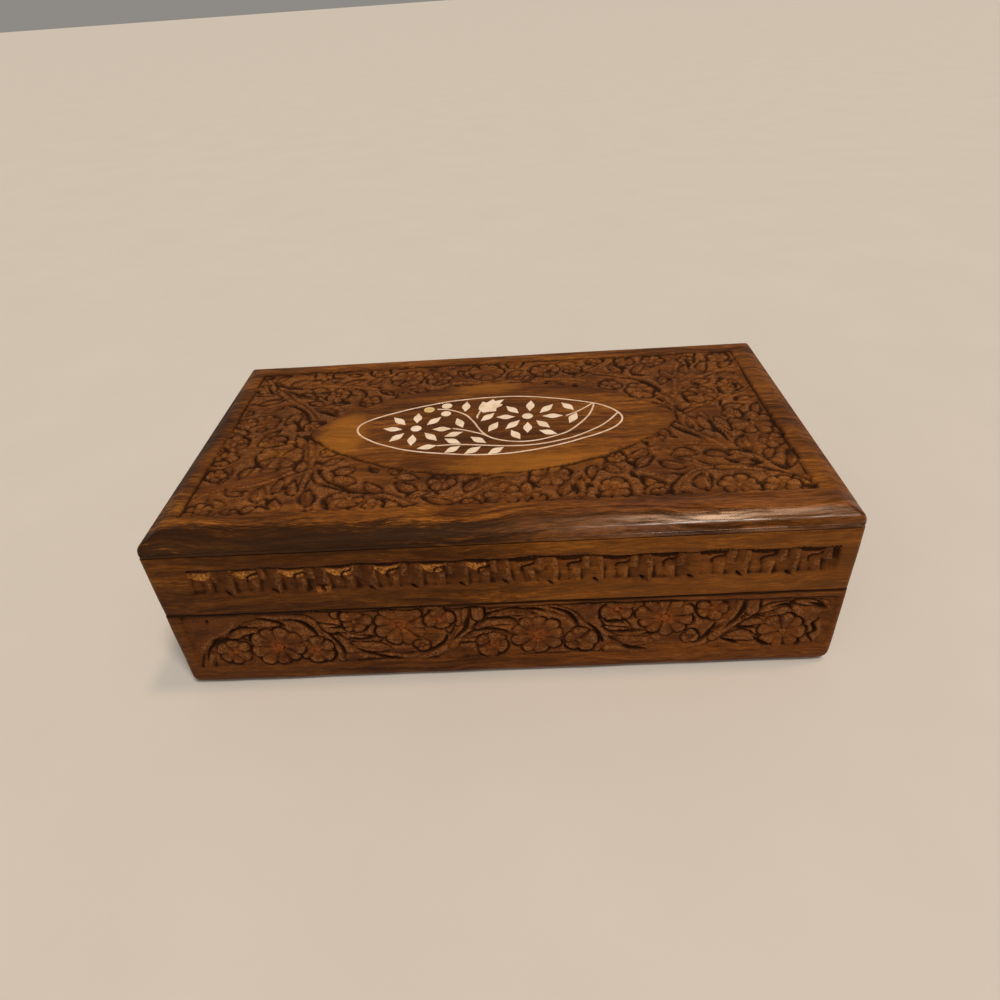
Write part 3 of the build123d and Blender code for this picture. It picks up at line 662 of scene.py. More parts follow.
# Heights across a leaf, low down and between the shoulders. Each plane rises to the right and
# then steps down.
low_planes = [
    (-6.65, -0.75), (-5.2, -0.45), (-4.2, -0.08), (-3.8, -0.08), (-3.3, -0.85), (-1.5, -0.55),
    (2.4, -0.1), (2.8, -0.1), (3.25, -0.85), (4.6, -0.55), (6.1, -0.6), (6.65, -0.75),
]
high_planes = [
    (-3.2, -0.7), (-2.7, -0.4), (-1.5, -0.08), (-1.1, -0.08), (-0.65, -0.7), (0.8, -0.4),
    (2.3, -0.15), (2.8, -0.3), (3.2, -0.7),
]
# The edge of a leaf's left shoulder with the slit under it, from the middle of the pocket, and
# the notch at a leaf's foot, from its middle.
shoulder_edge = [
    (3.6, 9.3), (3.2, 7.6), (2.5, 6.8), (0.9, 6.5), (-0.2, 5.9), (-0.4, 4.6), (-0.4, 2.8),
]
notch_edge = [(-0.1, 1.9), (0.7, 0.9), (1.9, 0.0)]


def carve_band(relief, leaves, bare_until, chip):
    """The band on one rail. Leaves are the middles of the leaves. The stain missed the pockets up
    to a place along the rail, and a chip at one foot. The band falls a little to the right."""
    shoulder_tall, scoop_half, line_up = 4.6, 3.9, 0.15
    leaves = np.array(leaves)
    x, y = np.meshgrid(relief.across, relief.along, indexing="ij")
    walked = np.interp(x, leaves, np.arange(len(leaves)), left=-9, right=len(leaves) + 9)
    walked = np.where(x < leaves[0], (x - leaves[0]) / band_pitch, walked)
    walked = np.where(x > leaves[-1], len(leaves) - 1 + (x - leaves[-1]) / band_pitch, walked)
    fold = (walked - np.round(walked)) * band_pitch + relief.off[0]
    y = y + band_fall * (x - 60) + relief.off[1] * 0.5
    low = np.interp(fold, *zip(*low_planes))
    high = np.interp(fold, *zip(*high_planes))
    rise = np.clip((y - band_low - shoulder_tall) / 0.8, 0, 1)
    height = (low + (high - low) * rise) * np.clip((y - band_low) / 1.2, 0, 1)
    # Between two heads lies a scoop, cut straight down at its top and rising towards its foot.
    beside = (band_pitch / 2 - np.abs(fold)) / scoop_half
    stained = x > bare_until
    deep = np.where(stained, 3.4, 4.2) * np.clip(1 - beside**2, 0, 1) ** 0.4
    under = (band_top - y) / np.maximum(deep, 0.01)
    scoop = (under < 1) & (np.abs(beside) < 1)
    cut = np.where(stained, 1.05, 0.6)
    floor = -cut + (cut - 0.3) * np.clip((under - 0.35) / 0.65, 0, 1)
    height = np.where(scoop, np.minimum(height, floor), height)
    pale = scoop & (under > 0.3) & (y < band_top)
    relief.fresh = np.where(pale, np.where(stained, 0.15, 0.7), 0.0)
    # Painted shade: a dark line along the top cut, a dark strip under the top of each pocket, where
    # its shadow falls, and the heads of the leaves a little darker.
    head = np.clip((2.9 - np.abs(fold)) / 0.5, 0, 1) * np.clip((y - band_low) / 2, 0, 1)
    shadow = scoop & (under < np.where(stained, 0.5, 0.22))
    line = 0.9 * np.exp(-(((y - band_top - line_up) / 0.3) ** 2))
    painted_shade = np.where(y < band_top, np.where(shadow, 0.95, 0.34 * head), 0.0)
    relief.painted_shade = np.maximum(line, painted_shade)
    left, right = leaves[0] - 9.9, leaves[-1] + 1.2
    ends = np.minimum(x - left, right - x)
    inside = (y > band_low - 0.3) & (y < band_top) & (ends > 0)
    relief.fresh *= ends > 0
    relief.painted_shade *= ends > 0
    relief.height = np.where(inside, np.minimum(height, 0) * np.clip(ends / 0.5, 0, 1), 0.0)
    for middle, following in zip(leaves, leaves[1:]):
        foot = band_low - band_fall * (middle - 60)
        pocket = (middle + following) / 2
        shoulder = [(pocket + u, foot + v) for u, v in shoulder_edge]
        notch = [(middle + u, foot + v) for u, v in notch_edge]
        relief.gouge(shoulder, width=1.0, depth=2.2)
        relief.gouge(notch, width=1.0, depth=1.7)
    top_line = [(u, band_top + line_up - band_fall * (u - 60)) for u in (left, right)]
    relief.gouge(top_line, width=0.75, depth=1.2)
    if chip:
        u, v = chip
        relief.gouge([(u - 2.2, v + 0.7), chip, (u + 2.2, v + 0.7)], width=1.6, depth=1.3)
        torn = np.hypot((x - u) / 2.3, (y - v + 0.9) / 1.2) < 1
        relief.fresh = np.where(torn, 0.5, relief.fresh)


# %% [markdown]
# ## The vine of the lid
# The top board is carved all over but for a frame along its edges and an oval in the middle.
# Branches rise from the corners and the right of the oval, thick with flowers and pointed leaves.
# Places are in millimetres from the front left corner of the box.

# %% Chart of the vine
vine_stems = [
    ([(190, 12), (184, 20), (176, 24.2), (166, 26), (158, 30), (152, 36)], 2.6),
    ([(187, 25), (180, 31.5), (173, 35.5), (164, 38.5), (156, 38)], 2.2),
    ([(158.5, 52), (159, 62), (162, 72), (168, 80), (177, 87), (188, 92)], 3.0),
    ([(163, 73), (164.8, 84), (167, 93), (170.5, 104)], 2.2),
    ([(160.5, 66), (157, 75), (152.5, 83), (145.5, 89.5), (136, 92)], 2.6),
    ([(158.5, 52), (163, 45), (170, 37.5), (177, 30)], 2.4),
    ([(168, 58), (171.5, 47), (175, 38.5)], 2.2),
    ([(160, 58), (170, 64), (181, 70), (190, 77)], 1.8),
    ([(149.5, 8.5), (152, 15.5), (157, 22.5), (164, 26)], 2.0),
    ([(9, 104), (15, 95), (22, 85.5), (30, 76.5), (36, 67), (38, 60)], 2.8),
    ([(11, 101), (20, 93.5), (30, 87), (38, 80.5), (45, 73.5)], 2.6),
    ([(22, 93.5), (34, 93), (46, 91), (58, 88), (70, 89)], 2.0),
    ([(39, 50), (41.5, 40), (44.5, 31), (51, 25), (59, 21.2), (68, 18.5), (76, 13)], 2.4),
    ([(42, 41), (41.5, 30), (42.5, 21), (46, 13)], 2.2),
    ([(41, 36), (33, 31), (25, 27), (15, 25), (9, 20)], 2.0),
    ([(85, 13.5), (92, 16.5), (98, 21), (104, 25), (111, 27)], 2.0),
    ([(84, 90), (94, 89), (104, 91.5), (114, 90), (126, 88.5), (136, 84)], 2.0),
    ([(124, 13), (127, 21), (133, 29), (140, 34)], 2.0),
]
vine_leaves = [
    ((158, 58), (154, 67.5), 1.6, -0.8), ((163.5, 57), (165, 46), 2.6, 0.6),
    ((167, 57), (169.5, 46), 2.0, -0.6), ((172, 56), (175.5, 46), 1.8, 0.8),
    ((177.5, 33.5), (178.5, 43.5), 2.2, 0.5), ((182, 29), (185.5, 35.5), 1.6, 0.5),
    ((187, 24), (189, 33), 1.5, -0.6), ((171, 28), (179, 27), 1.6, 0.9),
    ((164, 33), (172, 32), 1.8, 1.1), ((154, 33.5), (162, 33), 2.2, 0.9),
    ((157, 26), (150, 30.5), 2.0, 0.8), ((160.5, 14), (160.5, 22), 2.5, 0.8),
    ((151, 14.5), (143.5, 22.5), 2.2, 0.8), ((143, 14), (149, 19), 1.9, -0.7),
    ((186, 19.5), (178, 22.3), 1.5, 0.6), ((156, 45), (152, 50), 1.5, 0.4),
    ((147, 37), (140.5, 33), 2.2, 0.7), ((142, 27), (148, 33), 2.0, 0.8),
    ((138, 25), (133.5, 31.5), 1.7, 0.9), ((131, 30), (129, 22.5), 1.7, -0.7),
    ((124.8, 12.8), (125.5, 24), 1.9, 0.5), ((119, 14), (122, 21), 1.7, 0.6),
    ((109, 15), (111, 23), 1.7, 0.7), ((96, 21.5), (103, 25.4), 1.3, 0.5),
    ((91.5, 19), (94.5, 26), 1.7, -0.6), ((88, 13), (79, 16.5), 1.6, 0.6),
    ((77, 21), (70, 25.5), 1.9, 0.6), ((74, 17), (80.5, 20), 1.6, 0.5),
    ((66, 20.5), (60, 26), 1.7, 0.7), ((70, 28), (77, 27), 1.4, 0.6),
    ((57, 25.5), (50, 31), 2.4, 0.8), ((49, 33), (56.5, 34.5), 1.8, -0.7),
    ((45.5, 37), (51, 39.5), 1.6, 0.5), ((52, 13.5), (50.5, 20), 1.6, 0.6),
    ((45, 15), (44.2, 24), 2.3, 0.6), ((40, 21), (38, 29), 1.8, 0.7),
    ((33, 22), (33.8, 30.5), 1.7, -0.6), ((29.5, 18), (29, 27), 2.2, 0.5),
    ((36.5, 13), (34, 20), 1.9, 0.6), ((24, 22), (17.5, 27), 1.8, 0.7),
    ((20, 17), (13, 21), 1.7, 0.7), ((25, 13), (30, 16), 1.5, 0.5),
    ((14.5, 30), (15.5, 39.5), 1.9, 0.7), ((20, 31), (23.5, 38), 1.8, 0.6),
    ((26, 34), (32, 36), 1.7, 0.7), ((38.5, 33), (38, 41), 1.9, -0.5),
    ((33, 56), (36.5, 49), 1.8, 0.7), ((22, 55), (25.5, 61.5), 1.7, 0.6),
    ((30, 72.5), (26.5, 65), 2.0, 0.8), ((32.5, 69), (32, 60.5), 1.8, 0.7),
    ((35, 76), (44.5, 69), 2.0, 0.8), ((23, 79), (15.5, 73), 1.7, 0.7),
    ((21.5, 84), (12.5, 80.5), 1.8, 0.8), ((25, 88), (33.5, 84), 1.8, 0.7),
    ((31.5, 81), (38, 78), 1.6, 0.6), ((17.5, 91), (11, 88), 1.6, 0.5),
    ((21, 94.5), (30, 98.5), 2.2, 0.9), ((13.5, 100), (20, 104), 1.8, 0.6),
    ((30, 91), (37.5, 87), 1.8, 0.6), ((33, 96), (41, 99.5), 2.0, 0.7),
    ((42, 93), (49.5, 97.5), 1.9, 0.7), ((45, 88), (51.5, 83.5), 1.8, 0.7),
    ((40, 79), (47, 78), 1.7, 0.7), ((52, 92.5), (57.5, 98.5), 1.9, 0.6),
    ((57, 87.5), (62, 82.5), 1.7, 0.6), ((68, 86.5), (75, 84.5), 1.6, 0.6),
    ((86, 88), (80, 85.5), 1.5, 0.4), ((86, 101), (89, 93), 1.8, 0.6),
    ((104, 92), (110, 98), 2.0, 0.7), ((113, 94), (109.5, 88), 1.6, 0.6),
    ((118, 88), (124, 83.8), 1.6, 0.6), ((122, 101), (131, 102), 1.7, 0.8),
    ((131, 95), (138, 99.5), 1.9, 0.8), ((128, 90), (134.5, 93), 1.6, 0.6),
    ((143, 87), (137, 81.5), 1.9, 0.7), ((147, 92), (143.5, 100), 2.0, 0.8),
    ((151, 90), (156, 99), 1.9, 0.8), ((159, 80), (163, 88), 2.0, 0.7),
    ((165, 84), (160.5, 93), 1.8, 0.7), ((169.5, 87), (170.8, 97), 1.8, 0.6),
    ((175, 89), (179, 98), 1.8, 0.8), ((183, 91), (188.5, 97), 1.7, 0.6),
    ((170, 79), (176.5, 82), 2.0, 0.7), ((180, 85), (187.5, 86), 1.9, 0.7),
    ((166, 76), (172, 77.5), 1.4, 0.4), ((182, 66), (188.5, 68), 1.7, 0.6),
    ((176, 60), (183.5, 62.5), 1.9, 0.7), ((162, 62), (168, 66), 1.6, 0.6),
    ((186, 56), (189, 64), 1.5, 0.5),
]
vine_flowers = [
    (150.2, 42.6, 3.8, 6), (183.0, 50.5, 7.0, 8), (186.0, 39.5, 4.2, 5), (170.0, 15.5, 5.6, 8),
    (181.6, 15.0, 4.8, 6), (135.2, 17.0, 4.8, 7), (137.0, 34.0, 2.8, 5), (116.5, 25.5, 6.0, 8),
    (102.5, 16.2, 5.6, 8), (84.3, 25.2, 4.6, 7), (56.4, 18.4, 4.8, 8), (30.0, 44.0, 7.6, 9),
    (12.2, 53.0, 5.0, 6), (12.0, 44.2, 4.2, 6), (25.0, 53.0, 4.2, 6), (22.0, 12.0, 3.8, 6),
    (12.4, 15.0, 4.2, 6), (64.5, 14.2, 3.2, 5), (18.4, 66.0, 5.4, 7), (12.5, 66.5, 3.2, 5),
    (12.0, 94.0, 3.4, 5), (41.5, 85.5, 4.2, 6), (66.0, 96.5, 6.2, 8), (54.0, 78.8, 3.4, 5),
    (78.0, 95.0, 5.0, 7), (95.5, 98.0, 7.0, 8), (118.0, 96.5, 5.4, 8), (128.6, 96.5, 3.8, 6),
    (151.0, 77.0, 5.6, 6), (141.0, 82.0, 3.8, 5), (171.2, 71.5, 5.8, 8), (182.4, 77.4, 4.6, 6),
    (184.4, 100.5, 4.2, 6), (159.5, 100.0, 4.4, 6), (148.5, 101.5, 3.6, 5), (172.0, 99.5, 3.0, 5),
    (107.0, 103.0, 3.2, 5), (32.5, 102.0, 3.6, 6), (55.0, 103.0, 3.4, 5), (178.5, 57.5, 3.0, 5),
    (137.4, 103.0, 3.0, 5), (45.8, 45.0, 2.6, 5), (69.0, 32.5, 2.4, 5), (93.0, 13.0, 2.6, 5),
    (111.5, 13.6, 3.2, 5), (147.4, 13.2, 2.9, 5), (36.0, 63.0, 2.8, 5), (12.0, 34.0, 3.2, 5),
]
vine_gouges = [
    ([(157, 51.4), (160, 48), (163, 44.4), (166, 40.4)], 2.0),
    ([(170, 58), (170.4, 50), (172, 44), (174, 38)], 1.8), ([(163.6, 52), (163.2, 47.6)], 1.3),
    ([(155.6, 44.6), (158, 41.8)], 1.6), ([(147.6, 42.6), (147.2, 40)], 1.4),
    ([(168.4, 31.6), (170.4, 29.4), (173.6, 27.4)], 2.0), ([(176, 29.4), (178.6, 26.4)], 1.9),
    ([(182, 27.2), (185, 24.2), (186.6, 21.6)], 2.0),
    ([(186.6, 15.6), (188.6, 13.6), (190.6, 12)], 2.0),
    ([(172, 25.6), (178, 24.4), (183, 22), (187.4, 18)], 1.2),
    ([(168, 34.6), (174, 34.6), (179, 32), (181, 30)], 1.2), ([(160.4, 29.4), (164.4, 27.4)], 1.4),
    ([(163.2, 22.6), (163.4, 17.6)], 1.5), ([(152, 23.4), (156, 22)], 1.3),
    ([(148.6, 5.6), (149, 12), (151.6, 18), (156, 22.6)], 1.0), ([(152.6, 14.6), (156, 12)], 1.7),
    ([(176.6, 17.8), (176.4, 15)], 1.6), ([(174.6, 12.6), (177.6, 11.8)], 1.7),
    ([(156.6, 12.6), (159, 11.6), (162, 12.2)], 1.3),
    ([(139, 33.4), (140.8, 30), (142.8, 27.6)], 1.9),
    ([(140.4, 26.4), (141.4, 23), (144.4, 21.2)], 2.0),
    ([(130, 14), (131.6, 12), (133.8, 11)], 1.8), ([(145.6, 14.6), (147, 11.6)], 1.8),
    ([(154, 66.8), (156.6, 63), (158, 57.6)], 1.5), ([(155.4, 72.4), (157.8, 67)], 1.6),
    ([(143.6, 88.6), (149.4, 87), (153.6, 83), (157.4, 77), (158.6, 70.6)], 2.1),
    ([(143.6, 99.8), (146.8, 97), (149.4, 94)], 2.4),
    ([(149.6, 92.2), (153, 89), (156, 86.8)], 2.2),
    ([(171.4, 101.4), (172.5, 97), (171.4, 92.6)], 1.9), ([(166, 91.4), (166.6, 89)], 1.4),
    ([(162, 86.4), (163.2, 81.6)], 1.2), ([(164.8, 72.4), (166, 68.4), (167.2, 65.6)], 1.6),
    ([(161.2, 64.4), (162.6, 61), (163.8, 58)], 1.4), ([(170.2, 81), (172.8, 78.2)], 1.9),
    ([(175.6, 77.4), (178.4, 75), (179, 71.6), (182.6, 71), (183.8, 73)], 1.7),
    ([(180.2, 83.4), (181.8, 80.6)], 2.0), ([(184.6, 81), (185, 77), (184.2, 74.6)], 1.4),
    ([(157.6, 96.4), (158.4, 94.4)], 1.7), ([(176.6, 99.4), (177.4, 97.4)], 1.4),
    ([(176.8, 107), (175, 100.6)], 1.3), ([(176.6, 67.4), (175, 61)], 1.2),
    ([(184.8, 69.6), (181.4, 65.4)], 1.2), ([(103.8, 87.6), (106.6, 87.2), (109.4, 88.2)], 2.2),
    ([(109.8, 87.2), (113.4, 86.4)], 1.8), ([(116.6, 87), (119.6, 85.6)], 1.5),
    ([(127.8, 85), (129.4, 82)], 1.7), ([(76.8, 86), (80.4, 84.4)], 2.0),
    ([(69.8, 86.4), (71.4, 83.2)], 1.5), ([(119.2, 97.4), (120.8, 95.6)], 1.7),
    ([(125.6, 95.4), (130.4, 92.6)], 1.9), ([(89.8, 99.4), (91.4, 92.6)], 1.2),
    ([(132, 102.6), (139, 101.4)], 1.3), ([(111.8, 98.6), (112.6, 96)], 1.3),
    ([(9, 103.8), (12, 100.4), (16, 97.2), (19.4, 94.8), (24, 93), (30, 92.6)], 1.9),
    ([(10.4, 98.4), (13.4, 93.6), (15.8, 89.6), (19, 87)], 1.4),
    ([(22.6, 89.4), (28, 87.2), (32.4, 84)], 2.0), ([(33, 88.4), (38.4, 87.6)], 1.5),
    ([(41, 81.4), (46.8, 77.8)], 1.8),
    ([(21.6, 80.4), (27, 77.6), (31, 74), (33.4, 70), (35.4, 66)], 1.6),
    ([(34.8, 75.4), (40, 72), (44.8, 68.6)], 2.4), ([(32, 80.4), (35, 77.8)], 1.5),
    ([(37.8, 66.4), (41.4, 63.8)], 2.2), ([(28, 68.4), (30.4, 65.6), (32, 62), (34.4, 59.6)], 1.8),
    ([(9.4, 81.8), (12.4, 81)], 1.6), ([(9.4, 61), (12.4, 59.4)], 1.7),
    ([(13.8, 60.4), (16.4, 58.2)], 1.5), ([(54.8, 90.4), (56.8, 88.8)], 1.6),
    ([(57.8, 86.4), (59.4, 83.8)], 1.7), ([(36.8, 95.8), (42.4, 95)], 1.3),
    ([(8.8, 52.4), (11, 49.6), (13.6, 48.4)], 1.8), ([(9.8, 45.4), (12.4, 43)], 1.6),
    ([(7.6, 37.4), (10.4, 35.8)], 1.4), ([(21.8, 41.4), (24, 39), (27.4, 36.2)], 1.6),
    ([(26, 51.2), (29.4, 49.8)], 1.4), ([(32, 51.4), (35.4, 48.8)], 1.6),
    ([(34.8, 56.8), (38.4, 54.8)], 1.6), ([(42.8, 40.4), (45.4, 37.2)], 1.6),
    ([(43.8, 35.4), (46.4, 33.2)], 1.4),
    ([(44.6, 31.8), (47, 29.4), (49.4, 27), (53, 24.4), (57, 21.8), (62, 20.4), (67, 20)], 1.5),
    ([(46, 28.4), (50, 24.6), (54.4, 22.2)], 1.2), ([(34.8, 26.8), (37, 24.8)], 1.7),
    ([(30, 17.4), (33.4, 14.2)], 1.4), ([(36.8, 11.8), (40.4, 10.6)], 1.7),
    ([(44.2, 13.4), (46.6, 10.8), (49.4, 10.8)], 1.9),
    ([(55.8, 14.4), (58.4, 12), (62, 11.2), (67, 11)], 1.6), ([(31, 20.4), (33.4, 18)], 1.5),
    ([(18.8, 24.6), (26.4, 24.4)], 1.2), ([(48.8, 18.4), (51, 15), (52.2, 11.8)], 1.3),
    ([(110, 24.4), (111, 21.4), (113.6, 18.6)], 1.9), ([(109.4, 15.4), (110, 13.4)], 1.7),
    ([(92.8, 14.6), (93.6, 12.4), (95.4, 10.8)], 1.9),
    ([(96.8, 15.2), (98, 12.6), (100.6, 10.8)], 1.9),
    ([(71.8, 15.4), (73.6, 12.2), (76, 12.6), (78.6, 13.4)], 2.0),
    ([(115.6, 12.4), (118.6, 11)], 2.0), ([(128.8, 15.4), (131, 12.6), (133.4, 11.2)], 2.0),
    ([(126.8, 21.4), (129.4, 17.6)], 1.9), ([(123, 21.4), (123.8, 15)], 1.1),
    ([(131.6, 25.8), (135, 30.4)], 1.0), ([(90.4, 24.6), (92.4, 22.6)], 1.4),
    ([(95.6, 27.2), (98.6, 26.4)], 1.4), ([(103.6, 27.4), (108.6, 27.4)], 1.5),
    ([(81.6, 20.4), (83.6, 17.6)], 1.3),
]
field_left, field_right, field_front, field_back = 8.0, 190.6, 11.2, 105.2
oval_x, oval_y, oval_bow, oval_half = 98.9, 56.9, 82.0, 29.0


def oval_gap(x, y):
    """Distance outside the pointed oval. It is negative inside."""
    x, y = x - oval_x, y - oval_y
    upper = np.hypot(x, y + oval_bow - oval_half) - oval_bow
    lower = np.hypot(x, y - oval_bow + oval_half) - oval_bow
    soft = 2.5
    return soft * np.logaddexp(upper / soft, lower / soft) - 0.35


def carve_vine(relief):
    """The whole top board, in chart coordinates."""
    x, y = np.meshgrid(relief.across, relief.along, indexing="ij")
    for points, width in vine_stems:
        relief.stem(points, width)
    for root, tip, belly, bend in vine_leaves:
        relief.leaf(root, tip, belly, bend)
    for u, v, radius, petals in vine_flowers:
        relief.flower(u, v, radius, petals)
    for points, width in vine_gouges:
        relief.gouge(points, width, depth=1.9)
    border = np.minimum.reduce([x - field_left, field_right - x, y - field_front, field_back - y])
    oval = oval_gap(x, y)
    edge = np.minimum(border, oval)
    added = relief.fill(edge > 1.6, spacing=1.9, size=2.4)
    relief.lower(depth=0.35)
    carved = relief.height - 0.15 * np.clip(edge / 1.0, 0, 1)
    # The edge of the field is scalloped. The scallops are counted along the edge that is nearest.
    at_oval = oval < border
    at_ends = (x - field_left < border + 0.01) | (field_right - x < border + 0.01)
    at_front = y - field_front < border + 0.01
    around = 22 * np.arctan2(y - oval_y, (x - oval_x) / 2.2)
    turn = np.where(at_oval, around, np.where(at_ends, y, x))
    size = np.where(at_oval, 0.4, np.where(at_front, 0.6, 0.2))
    pitch = 4.6
    scallop = size * np.abs(np.sin(math.pi * turn / pitch + 0.6 * np.sin(turn / 7)))
    scallop = scallop + 0.4 * relief.off[0]
    lip = np.exp(-np.abs(edge - 0.3 - scallop) / 0.7) * (edge > scallop)
    carved = np.minimum(carved, -1.1 * lip)
    relief.height = np.where(edge > scallop, carved, 0.0)
    relief.height = np.where(oval < 0, -0.05, relief.height)
    print("vine: motifs filled in:", added)


# %% [markdown]
# ## Planks
# Each wall of the base and each rail of the lid is one plank. Its outer face is the carved grid.
# Behind it the section of the plank is swept along, so that the rebate for the bottom board and
# the seats for the hinges are in the same closed mesh.

# %% Plank builder
wall_low, wall_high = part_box("base_front_wall")
base_low, base_high = wall_low.z / mm, wall_high.z / mm
rail_low, rail_high = (corner.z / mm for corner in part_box("lid_front_rail"))
box_width = (cad_high.x - cad_low.x) / mm
box_depth = (cad_high.y - cad_low.y) / mm
wall = (wall_high.y - wall_low.y) / mm
seam = (base_high + rail_low) / 2
gap = seam - base_high
step = 0.36

# The direction along each side's planks, the one out of them, how far out they stand and how
# long they are.
sides = {
    "front": (Vector((1, 0, 0)), Vector((0, -1, 0)), box_depth / 2, box_width),
    "back": (Vector((-1, 0, 0)), Vector((0, 1, 0)), box_depth / 2, box_width),
    "left": (Vector((0, -1, 0)), Vector((-1, 0, 0)), box_width / 2, box_depth - 2 * wall),
    "right": (Vector((0, 1, 0)), Vector((1, 0, 0)), box_width / 2, box_depth - 2 * wall),
}


def spread(low, high, spacing):
    return np.linspace(low, high, max(2, int(round((high - low) / spacing)) + 1))


def quarter(radius, count=6):
    """Along and drop of a rounded corner, from the flat to the far side."""
    turn = np.linspace(0, math.pi / 2, count + 1)[1:]
    return radius * np.sin(turn), radius * (1 - np.cos(turn))


def grid_quads(number):
    """The four-sided faces of a grid of numbered points."""
    quads = np.stack([number[:-1, :-1], number[1:, :-1], number[1:, 1:], number[:-1, 1:]], -1)
    return quads.reshape(-1, 4)


def rim(number):
    """The outermost points of such a grid, one after the other."""
    return np.concatenate([number[:, 0], number[-1, 1:], number[-2::-1, -1], number[0, -2:0:-1]])


def solid(name, points, quads, ngons, smooth_count, body, **marks):
    """A closed mesh that takes the place of the solid of its name. The first smooth_count faces
    are shaded smooth, and marks are numbers for each point."""
    mesh = bpy.data.meshes.new(name)
    corners = np.concatenate([quads.ravel(), *[np.array(face) for face in ngons]])
    sizes = np.array([4] * len(quads) + [len(face) for face in ngons])
    starts = np.concatenate([[0], np.cumsum(sizes)[:-1]])
    mesh.vertices.add(len(points))
    mesh.vertices.foreach_set("co", (points * mm).astype(np.float32).ravel())
    mesh.loops.add(len(corners))
    mesh.loops.foreach_set("vertex_index", corners.astype(np.int32))
    mesh.polygons.add(len(sizes))
    mesh.polygons.foreach_set("loop_start", starts.astype(np.int32))
    mesh.polygons.foreach_set("use_smooth", np.arange(len(sizes)) < smooth_count)
    mesh.update(calc_edges=True)
    mesh.validate()
    for mark, values in marks.items():
        layer = mesh.attributes.new(mark, "FLOAT", "POINT")
        layer.data.foreach_set("value", np.asarray(values, np.float32).ravel())
    piece = bpy.data.objects.new(name, mesh)
    scene.collection.objects.link(piece)
    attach(piece, body)
    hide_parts(name)
    return piece


corner_radius, foot_radius, rail_radius, seam_radius = 1.6, 3.0, 0.4, 0.45
end_radius, end_reach = 4.0, 8
rebate_tall, rebate_deep = 4.4, 4.5
# The hinge's axis, its seat in the wood, and the bevel that ends the opening.
pin_low, pin_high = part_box("hinge_left_pin")
axis_in = box_depth / 2 - (pin_low.y + pin_high.y) / 2 / mm
seat_play, seat_radius, seat_back, seat_sunk = 0.15, 2.25, 6.45, 1.0
bevel = math.radians(51.5)
hinge_span = []
for hinge in ("left", "right"):
    leaf_low, leaf_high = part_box(f"hinge_{hinge}_base_leaf")
    hinge_span.append((leaf_low.x / mm - seat_play, leaf_high.x / mm + seat_play))


def seam_run(seated, count=10):
    """Section of the back seam edge from the outer face inwards, as depth and height off the seam
    plane. It has the same number of points with a hinge seat and without."""
    reach = axis_in - gap / math.tan(bevel)
    slope = [
        (share * reach, gap + (1 - share) * reach * math.tan(bevel))
        for share in np.linspace(0, 1, count)
    ]
    floor = gap
    if seated:
        floor = seat_sunk + gap
        end = -(math.pi - math.asin(floor / seat_radius))
        slope[1:] = [
            (axis_in - seat_radius * math.cos(turn), -seat_radius * math.sin(turn))
            for turn in np.linspace(-bevel, end, count - 1)
        ]
    flat = [(axis_in + 3, floor), (axis_in + seat_back - 0.02, floor)]
    return slope + flat + [(axis_in + seat_back, gap), (wall, gap)]


def end_round(height):
    """How far an end of a long wall draws in near its foot."""
    left = np.clip(end_radius - height, 0, end_radius)
    return end_radius - np.sqrt(end_radius**2 - left**2)


def plank_columns(length, side):
    """Places along a plank, and how far its face draws back there at a rounded end."""
    corner = corner_radius if side in ("front", "back") else 0.0
    across = spread(corner, length - corner, step)
    bend = np.zeros(len(across))
    if corner:
        run, drop = quarter(corner)
        left = corner - run
        across = np.concatenate([left[::-1], across, length - left])
        bend = np.concatenate([drop[::-1], bend, drop])
    if side == "back":
        # Two columns close together at each end of a hinge seat make its walls upright.
        edges = [length / 2 - x for span in hinge_span for x in span]
        extra = np.array([x + nudge for x in edges for nudge in (-0.01, 0.01)])
        across, order = np.unique(np.concatenate([across, extra]), return_index=True)
        bend = np.concatenate([bend, np.zeros(len(extra))])[order]
    return across, bend


def plank_rows(tall, radius, hinged):
    """Places across a plank from its far edge to the seam, and how far its face draws back."""
    room = axis_in * math.tan(bevel) - gap if hinged else seam_radius
    run, drop = quarter(radius)
    even = spread(radius, tall - room, step)
    rows = np.concatenate([radius - run[::-1], even])
    sink = np.concatenate([drop[::-1], np.zeros(len(even))])
    if not hinged:
        run, drop = quarter(seam_radius, 4)
        rows = np.concatenate([rows, tall - seam_radius + run])
        sink = np.concatenate([sink, drop])
    return rows, sink


